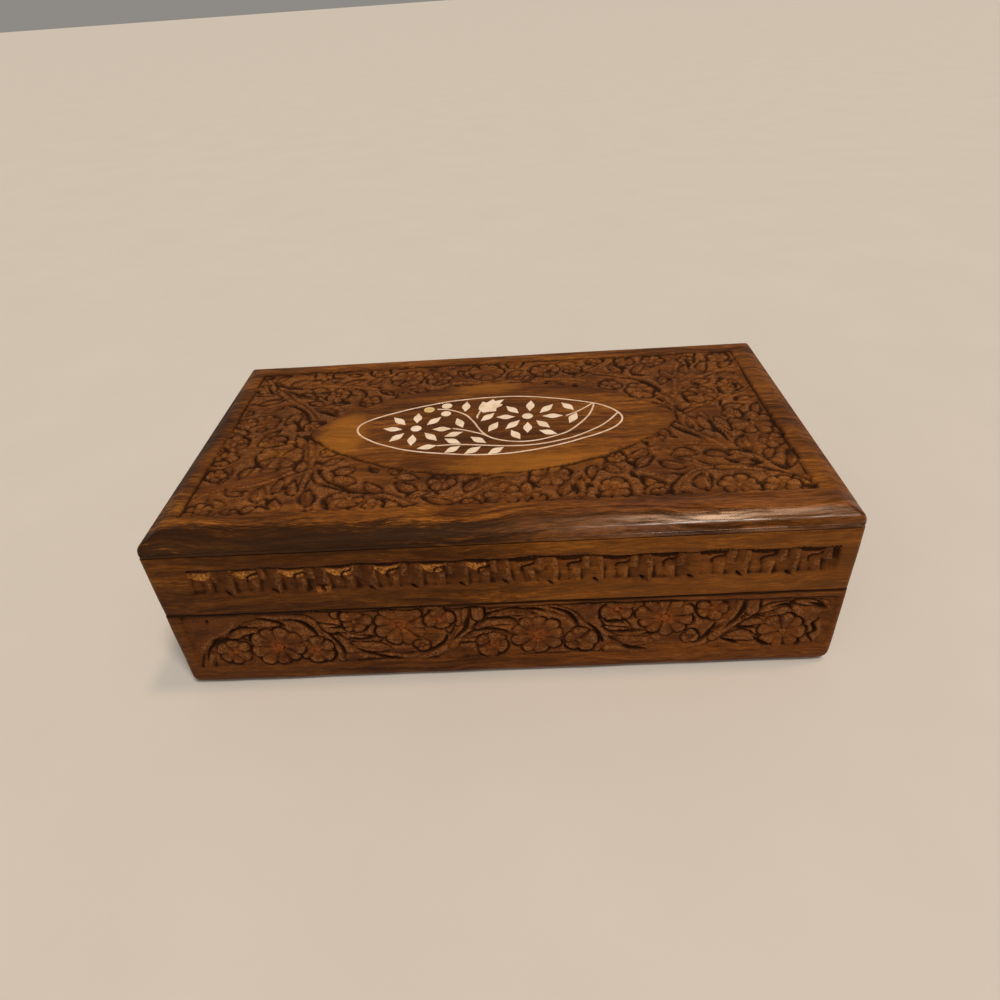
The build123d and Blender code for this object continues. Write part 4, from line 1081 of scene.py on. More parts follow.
def plank(name, side, body, carve, seed):
    """One carved plank. A wall of the base has the seam at its top, a rail of the lid at its foot.
    The walls stand round the rebate of the bottom board."""
    along, out, distance, length = sides[side]
    hinged = side == "back"
    rail = body == "lid"
    seam_edge, far_edge = (rail_low, rail_high) if rail else (base_high, base_low)
    to_seam = -1 if rail else 1
    across, bend = plank_columns(length, side)
    rows, sink = plank_rows(
        abs(seam_edge - far_edge), rail_radius if rail else foot_radius, hinged
    )
    heights = far_edge + to_seam * rows

    order = np.argsort(heights)
    relief = Relief(across, heights[order], seed)
    carve(relief, length)
    relief.hand_cut()
    to_rows = np.argsort(order)
    marks = {mark: values[:, to_rows] for mark, values in relief.marks().items()}
    # Painted shade darkens the seam and, on a rail, the strip just under the board. The last row
    # also belongs to the seam's face.
    hollow_shade = np.maximum(marks["hollow_shade"], 1.2 * np.exp(-(((heights - seam_edge) / 0.4) ** 2)))
    hollow_shade[:, -1] = 0
    if rail:
        hollow_shade = np.maximum(hollow_shade, 0.3 * np.exp(-np.abs(heights - far_edge) / 3))
    marks["hollow_shade"] = hollow_shade
    deep = bend[:, None] + sink[None, :] - relief.height[:, to_rows] + relief.patchy(9, 0.05)

    columns = []
    faces_out = len(rows)
    foot_levels = [] if rail else heights[heights < far_edge + end_radius]
    for index, x in enumerate(across):
        inside = [(wall, seam_edge)]
        if hinged:
            seated = any(low < length / 2 - x < high for low, high in hinge_span)
            inside = [
                (max(inward, bend[index]), seam - to_seam * off_seam)
                for inward, off_seam in seam_run(seated)[1:]
            ]
        if rail:
            inside += [(wall, far_edge)]
        else:
            ledge = wall - rebate_deep
            inside += [(wall, far_edge + rebate_tall), (ledge, far_edge + rebate_tall)]
            inside += [(ledge, level) for level in foot_levels[::-1]]
        columns.append([*zip(deep[index], heights), *inside])
    section = np.array(columns)
    width, around = section.shape[:2]
    points = np.zeros((width, around, 3))
    spot = np.repeat((across - length / 2)[:, None], around, 1)
    if side in ("front", "back") and not rail:
        near_end = np.clip((np.abs(spot) - length / 2 + end_reach) / end_reach, 0, 1)
        spot = spot - np.sign(spot) * near_end * end_round(section[..., 1] - far_edge)
    for axis in range(3):
        points[..., axis] = along[axis] * spot + out[axis] * (distance - section[..., 0])
    points[..., 2] += section[..., 1]

    number = np.arange(width * around).reshape(width, around)
    following = np.roll(number, -1, axis=1)
    quads = np.stack([number[:-1], number[1:], following[1:], following[:-1]], -1)
    face_quads = quads[:, : faces_out - 1].reshape(-1, 4)
    quads = np.concatenate([face_quads, quads[:, faces_out - 1:].reshape(-1, 4)])
    caps = [number[0][::-1].tolist(), number[-1].tolist()]
    if not rail:
        feet = len(foot_levels)
        for row in range(feet - 1):
            ring = [row, row + 1, around - row - 2, around - row - 1]
            quads = np.concatenate([quads, [number[0][ring[::-1]], number[-1][ring]]])
        caps = [
            number[0][feet - 1: around - feet + 1].tolist(),
            number[-1][around - feet: feet - 2: -1].tolist(),
        ]
        quads = quads[:, ::-1]
    behind = ((0, 0), (0, around - faces_out))
    marks = {mark: np.pad(values, behind) for mark, values in marks.items()}
    made = solid(name, points.reshape(-1, 3), quads, caps, len(face_quads), body, **marks)
    print(name, "faces:", len(made.data.polygons))
    return made


# %% [markdown]
# The same scroll is carved on all four walls. The short walls take the part of the chart that
# fits them, and the band of leaves starts where it does on the real rail.

# %% Walls and rails
end_leaves = tuple(14.6 + band_pitch * count for count in range(6))
# For each side: where its wall starts on the chart of the scroll, then the leaves of its rail, up
# to where the stain missed the pockets, and the chip.
plans = {
    "front": (0, front_leaves, 97, (49.6, 39.3)),
    "back": (0, front_leaves, 60, None),
    "left": (3, end_leaves, 40, None),
    "right": (82, end_leaves, 0, None),
}
planks = {}
for seed, (side, (start, leaves, bare_until, chip)) in enumerate(plans.items()):
    for name, body, first_seed, carve in (
        (f"base_{side}_wall", "base", 11,
         lambda relief, length: carve_scroll(relief, length, start)),
        (f"lid_{side}_rail", "lid", 31,
         lambda relief, length: carve_band(relief, leaves, bare_until, chip)),
    ):
        planks[name] = plank(name, side, body, carve, first_seed + seed)

# %% [markdown]
# ## The top board
# The carved grid covers the flat and the gentle slope round it. From there, rings of points
# follow the moulding round the edge and under the board.

# %% Top board
board_low, board_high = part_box("lid_panel")
half_x = (board_high.x - board_low.x) / 2 / mm
half_y = (board_high.y - board_low.y) / 2 / mm
board_top, board_foot = board_high.z / mm, board_low.z / mm
slope_wide, slope_fall = 5.0, 2.3
slope = math.atan2(slope_fall, slope_wide)
crest_radius, shoulder_radius, under_radius = 8.0, 3.0, 0.8
upright_edge, under_run, plan_radius = 0.9, 12.0, 2.0
crest_run = crest_radius * math.tan(slope / 2)
slope_start = slope_wide + crest_run
slope_even = slope_wide - crest_run * math.cos(slope)
shoulder_run = shoulder_radius * math.tan((math.pi / 2 - slope) / 2)
grid_inset = shoulder_run * math.cos(slope)


def edge_drop(inset):
    """How far the top lies under its flat at a distance in from the edge."""
    into_arc = np.clip(slope_start - inset, 0, slope_start - slope_even)
    arc = crest_radius - np.sqrt(crest_radius**2 - into_arc**2)
    return arc + np.clip(slope_even - inset, 0, None) * math.tan(slope)


board_step = 0.54
board_middle = (100, 57.5)
grid_x, grid_y = (
    spread(-half + grid_inset, half - grid_inset, board_step) for half in (half_x, half_y)
)
vine = Relief(grid_x + board_middle[0], grid_y + board_middle[1], 5, bare=0.12, dig=0.88)
carve_vine(vine)
vine.hand_cut()

mesh_x, mesh_y = np.meshgrid(grid_x, grid_y, indexing="ij")
inset = np.minimum(half_x - np.abs(mesh_x), half_y - np.abs(mesh_y))
uneven = np.clip(vine.patchy(9, 0.04), -0.2, 0)
quiet = oval_gap(mesh_x + board_middle[0], mesh_y + board_middle[1]) > 0
top_z = board_top - edge_drop(inset) + vine.height + uneven * quiet
top_points = np.stack([mesh_x, mesh_y, top_z], -1).reshape(-1, 3)
number = np.arange(len(top_points)).reshape(mesh_x.shape)
loop = rim(number)

turn = np.linspace(slope, math.pi / 2, 9)[1:]
shoulder_z = board_top - edge_drop(grid_inset) - shoulder_radius * (math.cos(slope) - np.cos(turn))
profile = [*zip(shoulder_radius * (1 - np.sin(turn)), shoulder_z)]
profile += [(0.0, board_foot + under_radius + upright_edge)]
profile += [
    (under_radius * (1 - math.cos(turn)), board_foot + under_radius * (1 - math.sin(turn)))
    for turn in np.linspace(0, math.pi / 2, 5)
]
profile += [(under_run, board_foot)]
rings = []
for ring_inset, ring_z in profile:
    limit = np.array([half_x - ring_inset, half_y - ring_inset])
    flat = top_points[loop, :2] * (limit / (half_x - grid_inset, half_y - grid_inset))
    radius = max(0.3, plan_radius - ring_inset)
    held = np.clip(flat, -limit + radius, limit - radius)
    away = flat - held
    far = np.hypot(away[:, 0], away[:, 1])
    corner = (np.abs(away) > 1e-6).all(1)
    flat[corner] = held[corner] + away[corner] / far[corner, None] * radius
    rings.append(np.column_stack([flat, np.full(len(flat), ring_z)]))
ring_count = len(loop)
starts = [loop] + [
    len(top_points) + ring_count * index + np.arange(ring_count) for index in range(len(rings))
]
ring_quads = [
    np.stack([upper, lower, np.roll(lower, -1), np.roll(upper, -1)], -1)
    for upper, lower in zip(starts, starts[1:])
]
smooth_quads = np.concatenate([grid_quads(number), *ring_quads[:-1]])
top_board = solid(
    "lid_panel", np.concatenate([top_points, *rings]),
    np.concatenate([smooth_quads, ring_quads[-1]]), [starts[-1][::-1].tolist()],
    len(smooth_quads), "lid",
    **{
        mark: np.pad(values.ravel(), (0, ring_count * len(rings)))
        for mark, values in vine.marks().items()
    },
)
print("lid_panel faces:", len(top_board.data.polygons))

# %% [markdown]
# ## Sheesham
# The wood is brown with long streaks that run from near black to orange. The figure is noise that
# is stretched along the grain. A slow warp bends it, and fine dark pores lie over it. Where the
# mesh says that a point lies in a crevice or a deep cut, the colour is darkened as painted shade,
# and the wood is made duller.

# %% Wood
warp_reach = 9
# The ends of the range of figure that the tones are laid over.
figure_low, figure_high = 0.55, 1.02


def sheesham(name, grain, tones, stains_and_shade=(), polish=0.42, shine=0.12, handled=0.0):
    """Wood whose grain runs along x or y. Tones go from the darkest streak to the brightest. A
    stain has a place, its reach along x and y, a tone and a strength; some are real stains and
    some are painted shade or painted light. Handled is how much hands have polished the right end
    of the front edge."""
    recipe = Recipe(
        name, IOR=1.5, Specular_IOR_Level=shine, Specular_Tint=(1.0, 0.74, 0.52),
        Coat_Roughness=0.24, Coat_Tint=(1.0, 0.86, 0.74),
    )
    spot = recipe.place()

    def with_grain(place, share):
        return recipe.stretched(place, {"x": (share, 1, 1), "y": (1, share, 1)}[grain])

    warp = recipe.noise(spot, 38, 2, out="Color")
    bent = recipe.vector("ADD", spot, recipe.stretched(warp, (warp_reach,) * 3))
    drawn = with_grain(bent, 0.07)
    figure = recipe.noise(drawn, 6.5, 5, 0.66)
    streak = recipe.noise(drawn, 1.6, 4, 0.66)
    fibre = recipe.noise(drawn, 0.42, 3, 0.7)
    pores = recipe.noise(with_grain(spot, 0.12), 0.42, 2, 0.6)
    cloud = recipe.noise(spot, 46, 2, 0.5)
    value = figure * 0.75 + streak * 0.42 + cloud * 0.38
    colour = recipe.gradient(value, tones, figure_low, figure_high)
    colour = recipe.mix(pores.ramp(0.62, 0.42) * 0.4, colour, tones[0])
    for noise, low, high, amount, tint in (
        (fibre, 0.5, 0.36, 0.5, (0.5, 0.44, 0.4)),
        (streak, 0.5, 0.38, 0.35, (0.5, 0.42, 0.36)),
        (fibre, 0.52, 0.7, 0.35, (1.5, 1.45, 1.35)),
    ):
        colour = recipe.mix(noise.ramp(low, high) * amount, colour, tint, "MULTIPLY")
    # Stains are laid over the figure. Some are real stains of the wood; others are painted shade or
    # painted light across a piece.
    for x, y, z, wide, deep, shade, amount in stains_and_shade:
        middle = tuple(place + warp_reach / 2 for place in (x, y, z))
        offset = recipe.vector("SUBTRACT", bent, middle)
        squeezed = recipe.stretched(offset, (1 / wide, 1 / deep, 0.02))
        far = recipe.vector("LENGTH", squeezed, out="Value")
        mask = (far + (streak - 0.5) * 1.5 + (fibre - 0.5) * 1.4).ramp(1.2, 0.65)
        colour = recipe.mix(mask * amount, colour, shade)

    # On carved wood the cuts run across the grain, so the figure breaks up into spots.
    hollow_shade, wear_and_highlight, carved, fresh = (
        recipe.attribute(mark) for mark in ("hollow_shade", "wear_and_highlight", "carved", "fresh")
    )
    grime = recipe.noise(spot, 5.0, 4, 0.65)
    grit = recipe.noise(spot, 0.7, 4, 0.75)
    patch = recipe.noise(spot, 2.4, 4, 0.7)
    blotch = recipe.noise(spot, 8.0, 3, 0.6)
    colour = recipe.mix(carved * (0.3 + grime * 0.4), colour, tone(92, 50, 22))
    for noise, low, high, amount, tint in (
        (blotch, 0.52, 0.64, 0.5, (0.5, 0.44, 0.48)),
        (blotch, 0.48, 0.36, 0.35, (1.4, 1.4, 1.2)),
        (patch, 0.5, 0.66, 0.35, (0.7, 0.66, 0.7)),
        (grit, 0.5, 0.36, 0.4, (0.5, 0.44, 0.42)),
        (grit, 0.52, 0.68, 0.3, (1.6, 1.55, 1.5)),
    ):
        colour = recipe.mix(carved * noise.ramp(low, high) * amount, colour, tint, "MULTIPLY")
    opened = fresh.ramp(0.3, 0.7)
    bare = recipe.mix(opened, tone(150, 72, 28), tone(168, 108, 44))
    bare = recipe.mix(grit.ramp(0.54, 0.7) * opened * 0.8, bare, tone(214, 162, 96))
    colour = recipe.mix(fresh.ramp(0.0, 0.75) * grit.ramp(0.36, 0.54), colour, bare)
    # Painted shade: crevices, deep cuts, the seam, the strip under the board and the painted shadow
    # lines are darkened.
    colour = recipe.mix(hollow_shade.ramp(0.08, 0.85) * 0.9, colour, tone(30, 12, 3))
    # Crests are painted lighter, partly as wear and partly as a painted highlight.
    rubbed_and_highlight = wear_and_highlight.ramp(0.08, 0.4) * grit.ramp(0.42, 0.58)
    colour = recipe.mix(rubbed_and_highlight * 0.3, colour, tone(172, 116, 68))

    to_right, to_front = (
        recipe.node("ShaderNodeSeparateXYZ", {}, {0: spot}, axis).ramp(start, end)
        for axis, start, end in ((0, -8, 42), (1, -44, -52))
    )
    smooth = to_right * to_front * handled
    gloss = smooth * 2.7 * streak.ramp(0.38, 0.6)
    crest = rubbed_and_highlight * patch.ramp(0.5, 0.62)
    rough = polish + pores * 0.14 + carved * 0.16 + hollow_shade * 0.15 - smooth - crest * 0.3
    height = pores * 0.07 + fibre * 0.06 + streak * 0.06
    height = height + carved * patch * 0.12 + carved * grit * 0.14
    return recipe.finish(height, Base_Color=colour, Roughness=rough, Coat_Weight=gloss)


wall_tones = [tone(44, 18, 1), tone(94, 49, 12), tone(124, 69, 21), tone(160, 96, 34)]
rail_tones = [tone(38, 16, 1), tone(94, 49, 9), tone(132, 75, 18), tone(172, 106, 34)]
board_tones = [tone(38, 17, 2), tone(100, 54, 13), tone(142, 83, 24), tone(186, 120, 44)]
gold = tone(196, 124, 36)
umber = tone(34, 15, 3)
# The wall's stain is painted shade: it darkens the left end of the wall.
wall_painted_shade = [(-100, -57, 15, 75, 30, umber, 0.4)]
# The rail's stains are painted shade and light: the left half is darker and the right end lighter.
rail_painted_light_and_shade = [
    (-90, -57, 40, 95, 30, umber, 0.35),
    (-35, -57, 52, 60, 30, umber, 0.3),
    (75, -57, 40, 62, 30, tone(156, 98, 44), 0.16),
]
# The first of the board's stains is painted shade that darkens the left end of the board.
board_stains_and_shade = [
    (-100, 0, 58, 45, 90, umber, 0.3),
    (-2.5, -0.3, 58, 44, 19, tone(64, 34, 14), 0.45),
    (-51, -3, 58, 8, 14, gold, 0.32),
    (10, -25, 58, 26, 6, gold, 0.35),
    (-4, 26, 58, 12, 5, gold, 0.3),
    (-62, -57, 55, 66, 7, umber, 0.85),
    (10, -57, 55, 60, 5, umber, 0.45),
    (80, -58, 55, 40, 4.5, umber, 0.5),
    (-103, -8, 55, 9, 62, umber, 0.75),
]
wall_wood = sheesham("sheesham_walls", "x", wall_tones, wall_painted_shade)
end_wood = sheesham("sheesham_ends", "y", wall_tones)
rail_wood = sheesham("sheesham_rails", "x", rail_tones, rail_painted_light_and_shade)
rail_end_wood = sheesham("sheesham_rail_ends", "y", rail_tones)
board_wood = sheesham(
    "sheesham_board", "x", board_tones, board_stains_and_shade, polish=0.46, shine=0.17, handled=0.28
)
for name, piece in planks.items():
    across_box = "left" in name or "right" in name
    if name.startswith("base"):
        piece.data.materials.append(end_wood if across_box else wall_wood)
    else:
        piece.data.materials.append(rail_end_wood if across_box else rail_wood)
top_board.data.materials.append(board_wood)
print("woods:", [kind.name for kind in (wall_wood, end_wood, rail_wood, rail_end_wood, board_wood)])

# %% [markdown]
# ## Bone, brass, steel and velvet
# The finishes of the small parts and of the lining.

# %% Small finishes


def bone(name, pale, dark):
    recipe = Recipe(name, Coat_Weight=0.2, IOR=1.54)
    spot = recipe.place()
    cloud = recipe.noise(spot, 3.0, 3)
    line = recipe.noise(recipe.stretched(spot, (0.3, 1, 1)), 0.5, 2)
    colour = recipe.mix(cloud.ramp(0.3, 0.75), pale, dark)
    colour = recipe.mix(line.ramp(0.62, 0.75) * 0.5, colour, dark)
    return recipe.finish(line * 0.02, Base_Color=colour, Roughness=0.36 + line * 0.12)


def metal(name, colour, dull, roughness):
    recipe = Recipe(name, Metallic=1.0)
    spot = recipe.place()
    stain = recipe.noise(spot, 2.2, 5, 0.65)
    brushed = recipe.noise(recipe.stretched(spot, (0.1, 1, 1)), 0.25, 2)
    shade = recipe.mix(stain.ramp(0.42, 0.7), colour, dull)
    rough = roughness + stain * 0.25 + brushed * 0.1
    return recipe.finish(brushed * 0.02, Base_Color=shade, Roughness=rough)


def velvet(name, pile, shade):
    recipe = Recipe(
        name, Roughness=0.9, Sheen_Weight=0.8, Sheen_Roughness=0.4, Sheen_Tint=tone(220, 120, 120)
    )
    spot = recipe.place()
    nap = recipe.noise(spot, 0.5, 3)
    brushed = recipe.noise(spot, 14, 3)
    colour = recipe.mix(nap.ramp(0.3, 0.7), shade, pile)
    colour = recipe.mix(brushed.ramp(0.45, 0.65) * 0.45, colour, shade)
    return recipe.finish(nap * 0.12, Base_Color=colour)


white_bone = bone("white_bone", tone(242, 220, 194), tone(222, 194, 162))
line_bone = bone("line_bone", tone(236, 206, 178), tone(206, 170, 136))
yellow_bone = bone("aged_bone", tone(226, 196, 132), tone(200, 164, 98))
brass = metal("dulled_brass", tone(196, 158, 92), tone(120, 84, 44), 0.3)
steel = metal("nail_steel", tone(150, 146, 140), tone(84, 72, 60), 0.35)
red_velvet = velvet("red_velvet", tone(120, 18, 30), tone(62, 8, 16))
bottom_tones = [tone(96, 62, 36), tone(140, 98, 60), tone(166, 120, 76), tone(188, 144, 96)]
bottom_wood = sheesham("bottom_board_wood", "x", bottom_tones, polish=0.7)
print("finishes:", [kind.name for kind in (white_bone, line_bone, yellow_bone, brass, steel)])

# %% [markdown]
# ## The inlay
# The spray is bone, cut with a saw and let in flush: thin lines for the border and the stems,
# diamonds for petals and leaves, discs for berries. Places are in millimetres on the board, as in
# the chart of the vine. Each piece is a thin plate whose upper edge is eased.

# %% Chart of the spray
border_line = [
    (53.0, 57.6), (53.2, 59.7), (54.3, 61.8), (57.2, 64.3), (60.6, 66.3), (64.8, 68.3), (68.9, 70.1),
    (73.1, 71.7), (77.3, 73.0), (81.5, 74.3), (86.0, 75.1), (90.5, 75.7), (95.1, 76.1), (99.6, 76.2),
    (104.2, 76.2), (108.7, 75.8), (113.3, 75.0), (117.8, 73.9), (122.4, 72.5), (126.9, 70.9),
    (131.5, 69.1), (134.2, 67.8), (136.9, 65.9), (139.4, 63.4), (141.0, 60.9), (141.9, 58.4),
    (141.7, 55.7), (140.3, 53.0), (137.4, 50.1), (132.8, 47.3), (128.3, 45.3), (123.7, 43.2),
    (119.2, 41.6), (114.2, 40.0), (108.7, 38.8), (103.3, 38.0), (97.4, 37.9), (91.5, 38.3),
    (86.0, 39.2), (79.3, 40.5), (74.3, 41.8), (69.3, 43.6), (65.2, 45.7), (61.4, 47.8), (58.1, 50.3),
    (55.4, 52.8), (53.7, 55.3),
]
vine_lines = [
    [(79.2, 69.3), (82.5, 68.9), (84.1, 68.2), (87.0, 66.4), (89.75, 63.8), (91.5, 60.7),
     (92.8, 58.0), (94.2, 54.4), (95.8, 51.2), (98.3, 48.2), (101.9, 46.2), (106, 45.0),
     (110.1, 44.8), (114.6, 45.6), (119.6, 47.6), (123.7, 50.0), (127.8, 54.8), (131, 59.8),
     (132.8, 64.4), (133.7, 68.2)],
    [(85.4, 55.3), (89.6, 53.8), (92.8, 52.1), (95.8, 50.4), (98.3, 48.2)],
    [(80.9, 44.7), (84.8, 44.9), (89.0, 44.7), (93.3, 44.1), (98.7, 43.2), (104.2, 42.5),
     (110.1, 42.4), (115.5, 43.1), (120.5, 44.5), (125.1, 46.2), (129.6, 48.9), (134.2, 52.3),
     (137.8, 56.2), (140.8, 60.5)],
    [(123.5, 60.3), (126.5, 62.1), (129.6, 64.6), (133.3, 68.2)],
]
bud_stem_line = [(94.3, 66.6), (93.95, 64.8), (93.4, 63.0), (93.5, 61.4)]
bud_outline = [
    (95.3, 65.2), (97.4, 65.7), (99.8, 65.8), (100.0, 68.2), (101.7, 69.4), (102.1, 70.5),
    (101.1, 71.0), (102.6, 74.1), (99.5, 73.2), (98.7, 74.7), (96.4, 72.3), (95.0, 73.2),
    (93.8, 69.8), (93.7, 67.8),
]
# Diamonds from tip to tip: the petals of the two flowers, then the loose leaves.
petals = [
    ((72.9, 67.1), (72.9, 60.1)), ((81.0, 63.6), (76.4, 58.5)), ((85.0, 55.2), (78.5, 55.4)),
    ((76.1, 53.4), (80.7, 47.8)), ((72.3, 52.6), (72.3, 45.4)), ((69.3, 53.8), (64.8, 48.7)),
    ((61.75, 57.4), (68.4, 56.3)), ((64.5, 65.0), (69.2, 59.2)),
    ((112.1, 72.3), (111.3, 64.6)), ((119.6, 68.7), (114.7, 62.9)), ((115.5, 60.7), (122.5, 60.4)),
    ((113.3, 57.9), (117.7, 52.7)), ((110.5, 57.1), (110.2, 50.0)), ((107.9, 58.7), (103.0, 53.1)),
    ((99.9, 61.5), (106.3, 61.2)), ((103.3, 69.0), (107.6, 63.5)),
]
leaves = [
    ((86.4, 62.2), (88.8, 55.5)), ((82.9, 50.3), (88.9, 52.7)), ((83.0, 48.9), (88.6, 45.3)),
    ((74.5, 43.5), (80.9, 44.9)), ((83.5, 40.1), (88.5, 43.8)), ((89.5, 73.9), (89.1, 66.5)),
    ((91.5, 49.3), (96.8, 44.9)), ((89.9, 38.8), (95.2, 42.9)), ((97.4, 38.2), (102.5, 41.9)),
    ((94.6, 59.3), (99.3, 64.5)), ((97.3, 52.0), (100.6, 58.2)), ((104.8, 52.3), (107.8, 46.2)),
    ((114.0, 51.3), (119.9, 48.4)), ((122.5, 69.5), (126.5, 63.9)), ((124.2, 55.0), (127.3, 62.1)),
]
# Half widths of a diamond along it, as shares of its belly.
diamond_sides = [(0, 0), (0.2, 0.45), (0.36, 0.86), (0.5, 1), (0.64, 0.86), (0.8, 0.45), (1, 0)]
line_width, diamond_belly = 0.62, 1.5
# The middle of the board on this chart.
chart_middle = (99.8, 57.95)
inlay_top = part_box("inlay_petals")[1].z / mm + 0.02
inlay_foot = inlay_top - 0.5
# Each line lies this much lower than the one before, so that no two crossing faces are level.
line_step = 0.008
line_spacing = 0.8
ease = 0.06
print("diamonds:", len(petals) + len(leaves))

# %% Inlay plates


def eased(outline):
    """An outline drawn a little smaller all round. It runs anticlockwise."""
    ahead = np.roll(outline, -1, axis=0) - outline
    ahead /= np.hypot(*ahead.T)[:, None]
    inward = np.column_stack([-ahead[:, 1], ahead[:, 0]])
    both = inward + np.roll(inward, 1, axis=0)
    return outline + ease * both / np.maximum(np.hypot(*both.T), 0.3)[:, None]


def diamond(start, end):
    start, end = np.array(start), np.array(end)
    run = end - start
    beside = np.array((run[1], -run[0])) / np.hypot(*run)
    share, half = (np.array(values)[:, None] for values in zip(*diamond_sides))
    half = half * diamond_belly
    near, far = start + run * share + beside * half, start + run * share - beside * half
    return np.concatenate([near, far[-2:0:-1]])


def disc(x, y, radius=1.85, corners=28):
    turn = np.linspace(0, 2 * math.pi, corners, endpoint=False)
    return np.column_stack([x + radius * np.cos(turn), y + radius * np.sin(turn)])


def whole_turn(knots):
    """A closed smooth line. It is drawn past both ends and cut back to one turn."""
    path = smooth_line(np.vstack((knots[-2:], knots, knots[:3])), line_spacing)
    away = np.hypot(*(path - knots[0]).T)
    third, half = len(path) // 3, len(path) // 2
    return path[np.argmin(away[:third]): half + np.argmin(away[half:])]


def inlaid(name, points, quads, ngons, finish):
    made = solid(name, np.concatenate(points), np.concatenate(quads), ngons, 0, "lid")
    made.data.materials.append(finish)


def plates(name, outlines, finish):
    """One piece of one or more flat plates."""
    points, quads, ngons = [], [], []
    for outline in outlines:
        outline = np.array(outline)
        count, first = len(outline), sum(len(part) for part in points)
        rings = [(outline, inlay_foot), (outline, inlay_top - ease), (eased(outline), inlay_top)]
        for ring, z in rings:
            points.append(np.column_stack([ring - chart_middle, np.full(count, z)]))
        number = first + np.arange(3 * count).reshape(3, count)
        for lower, upper in zip(number, number[1:]):
            quads.append(np.stack([lower, np.roll(lower, -1), np.roll(upper, -1), upper], -1))
        ngons += [number[0][::-1].tolist(), number[2].tolist()]
    inlaid(name, points, quads, ngons, finish)


def strokes(name, lines, finish, closed=False, lower=1):
    """One piece of thin lines of even width. Lower is how many steps down the first one lies."""
    section = np.array(
        [(-0.5, inlay_foot), (0.5, inlay_foot), (0.5, inlay_top - 0.05), (0.42, inlay_top),
         (-0.42, inlay_top), (-0.5, inlay_top - 0.05)]
    )
    points, quads, ngons = [], [], []
    for down, line in enumerate(lines, lower):
        first = sum(len(part) for part in points)
        if closed:
            path = whole_turn(np.array(line))
            heading = np.roll(path, -1, axis=0) - np.roll(path, 1, axis=0)
        else:
            path = smooth_line(line, line_spacing)
            heading = np.gradient(path, axis=0)
        beside = np.column_stack([heading[:, 1], -heading[:, 0]]) / np.hypot(*heading.T)[:, None]
        place = path[:, None] + beside[:, None] * (section[:, :1] * line_width)
        height = np.broadcast_to(section[:, 1:] - down * line_step, (len(path), 6, 1))
        points.append(np.concatenate([place - chart_middle, height], -1).reshape(-1, 3))
        number = first + np.arange(6 * len(path)).reshape(-1, 6)
        following = np.roll(number, -1, axis=0)
        if not closed:
            ngons += [number[0][::-1].tolist(), number[-1].tolist()]
            number, following = number[:-1], following[:-1]
        sleeve = [number, np.roll(number, -1, 1), np.roll(following, -1, 1), following]
        quads.append(np.stack(sleeve, -1).reshape(-1, 4))
    inlaid(name, points, quads, ngons, finish)


strokes("inlay_border", [border_line], line_bone, closed=True)
strokes("inlay_vines", vine_lines, line_bone, lower=2)
strokes("inlay_bud_stem", [bud_stem_line], line_bone)
plates("inlay_petals", [diamond(*tips) for tips in petals], white_bone)
plates("inlay_leaves", [diamond(*tips) for tips in leaves], white_bone)
plates("inlay_bud", [bud_outline], white_bone)
plates("inlay_flower_centres", [disc(73.0, 56.5), disc(110.5, 61.2)], white_bone)
plates("inlay_berries", [disc(82.5, 71.4), disc(82.5, 65.8, 1.75)], white_bone)
plates("inlay_yellow_berry", [disc(76.4, 69.25, 1.9)], yellow_bone)

# %% [markdown]
# ## The lining
# Inside, the box is lined with velvet, as such boxes are. A thin pad lies on the floor, and the
# cloth is glued flat to the four walls and under the board. Each piece fills the space of its own
# solid, with soft edges and a little unevenness on the side that shows.

# %% Linings


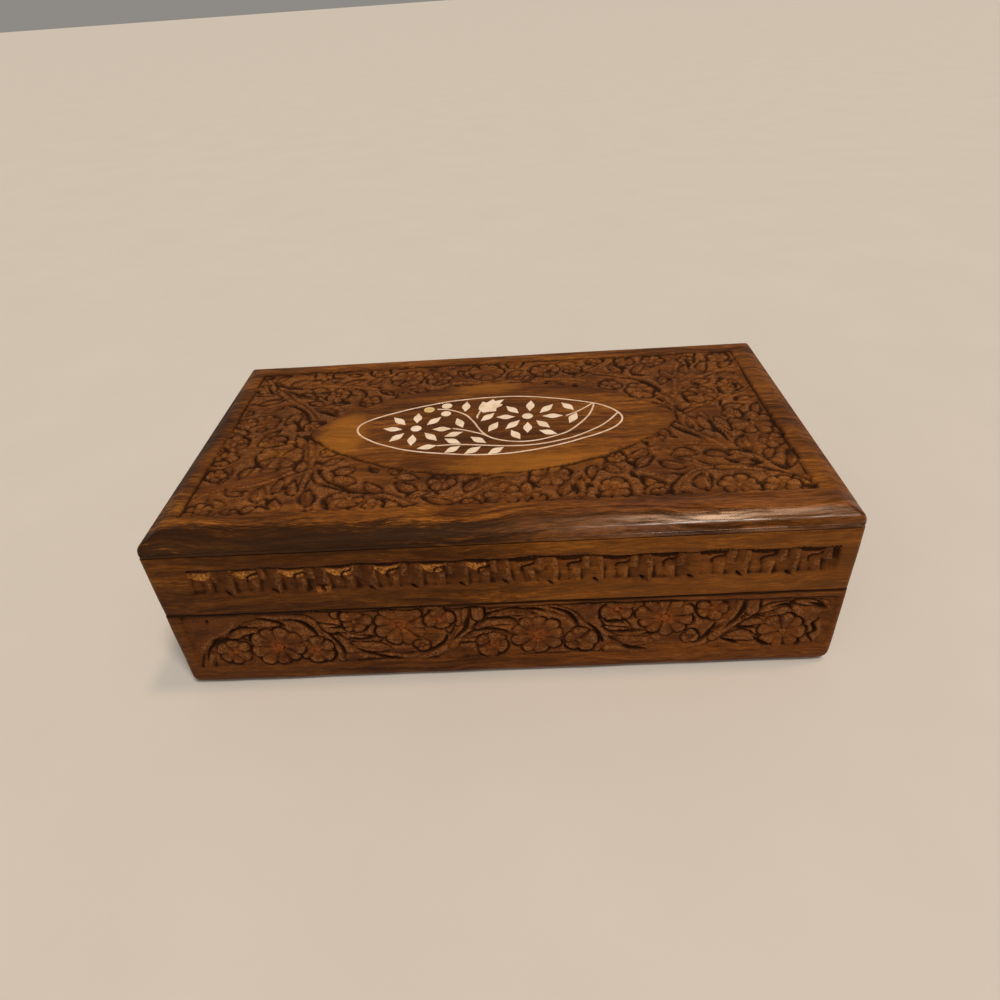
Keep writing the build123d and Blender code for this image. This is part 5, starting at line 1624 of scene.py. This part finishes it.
def lining(node, body, axis, sign, crown, seed):
    """A thin slab of cloth. Axis is the one across it, and sign the side that shows. Crown is how
    much lower its edges lie than its middle."""
    low, high = (np.array(corner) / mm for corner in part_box(node))
    first, second = [other for other in range(3) if other != axis]
    thick = high[axis] - low[axis]
    radius = 0.6 * thick
    soft = quarter(radius, 4)[0]
    across, along = (
        np.concatenate([start + radius - soft[::-1],
                        spread(start + radius, end - radius, 1.5),
                        end - radius + soft])
        for start, end in ((low[side], high[side]) for side in (first, second))
    )
    u, v = np.meshgrid(across, along, indexing="ij")
    inset = np.minimum.reduce([u - low[first], high[first] - u, v - low[second], high[second] - v])
    edge = np.clip(radius - inset, 0, None)
    drop = radius - np.sqrt(np.clip(radius**2 - edge**2, 0, None))
    sunk, ripple_size, most_sunk, crown_run = 0.07, 0.04, 0.2, 6
    ripple = blur(np.random.default_rng(seed).normal(0, 1, u.shape), 3)
    ripple = np.clip(sunk + ripple_size * ripple / ripple.std(), 0, most_sunk)
    drop = drop + ripple + crown * np.exp(-inset / crown_run)
    shown = np.zeros((*u.shape, 3))
    shown[..., first], shown[..., second] = u, v
    glued = shown.copy()
    near, far = (high[axis], low[axis]) if sign > 0 else (low[axis], high[axis])
    shown[..., axis] = near - sign * np.clip(drop, 0, 0.85 * thick)
    glued[..., axis] = far
    number = np.arange(u.size).reshape(u.shape)
    faces, edges = grid_quads(number), rim(number)
    border = np.stack([edges, edges + u.size, np.roll(edges + u.size, -1), np.roll(edges, -1)], -1)
    quads = np.concatenate([faces, faces[:, ::-1] + u.size, border])
    if sign * (1 if axis != 1 else -1) < 0:
        quads = quads[:, ::-1]
    points = np.concatenate([shown.reshape(-1, 3), glued.reshape(-1, 3)])
    made = solid(node, points, quads, [], len(quads), body)
    made.data.materials.append(red_velvet)
    size = sorted(high - low)
    return made, (size[2] * mm, size[1] * mm)


pad, _ = lining("floor_lining", "base", axis=2, sign=1, crown=0.25, seed=71)
for seed, (node, body, axis, sign, carrier) in enumerate(
    [
        ("lining_front", "base", 1, 1, "base_front_wall"),
        ("lining_back", "base", 1, -1, "base_back_wall"),
        ("lining_left", "base", 0, 1, "base_left_wall"),
        ("lining_right", "base", 0, -1, "base_right_wall"),
        ("lid_lining", "lid", 2, -1, "lid_panel"),
    ]
):
    cloth, flat = lining(node, body, axis, sign, crown=0.0, seed=72 + seed)
    print(node, "cut to, mm:", [round(side / mm, 1) for side in flat])

# %% [markdown]
# ## Finish what the frame still shows
# The hinges, pins, screws, nails and the board underneath keep their own solids.

# %% Finish the rest
finishes = {"bottom_board": bottom_wood, "bottom_brads": steel}
for name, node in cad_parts.items():
    if not node.hide_render:
        node.data.materials.clear()
        node.data.materials.append(finishes.get(name, brass))
        print(name, "finish:", node.data.materials[0].name)
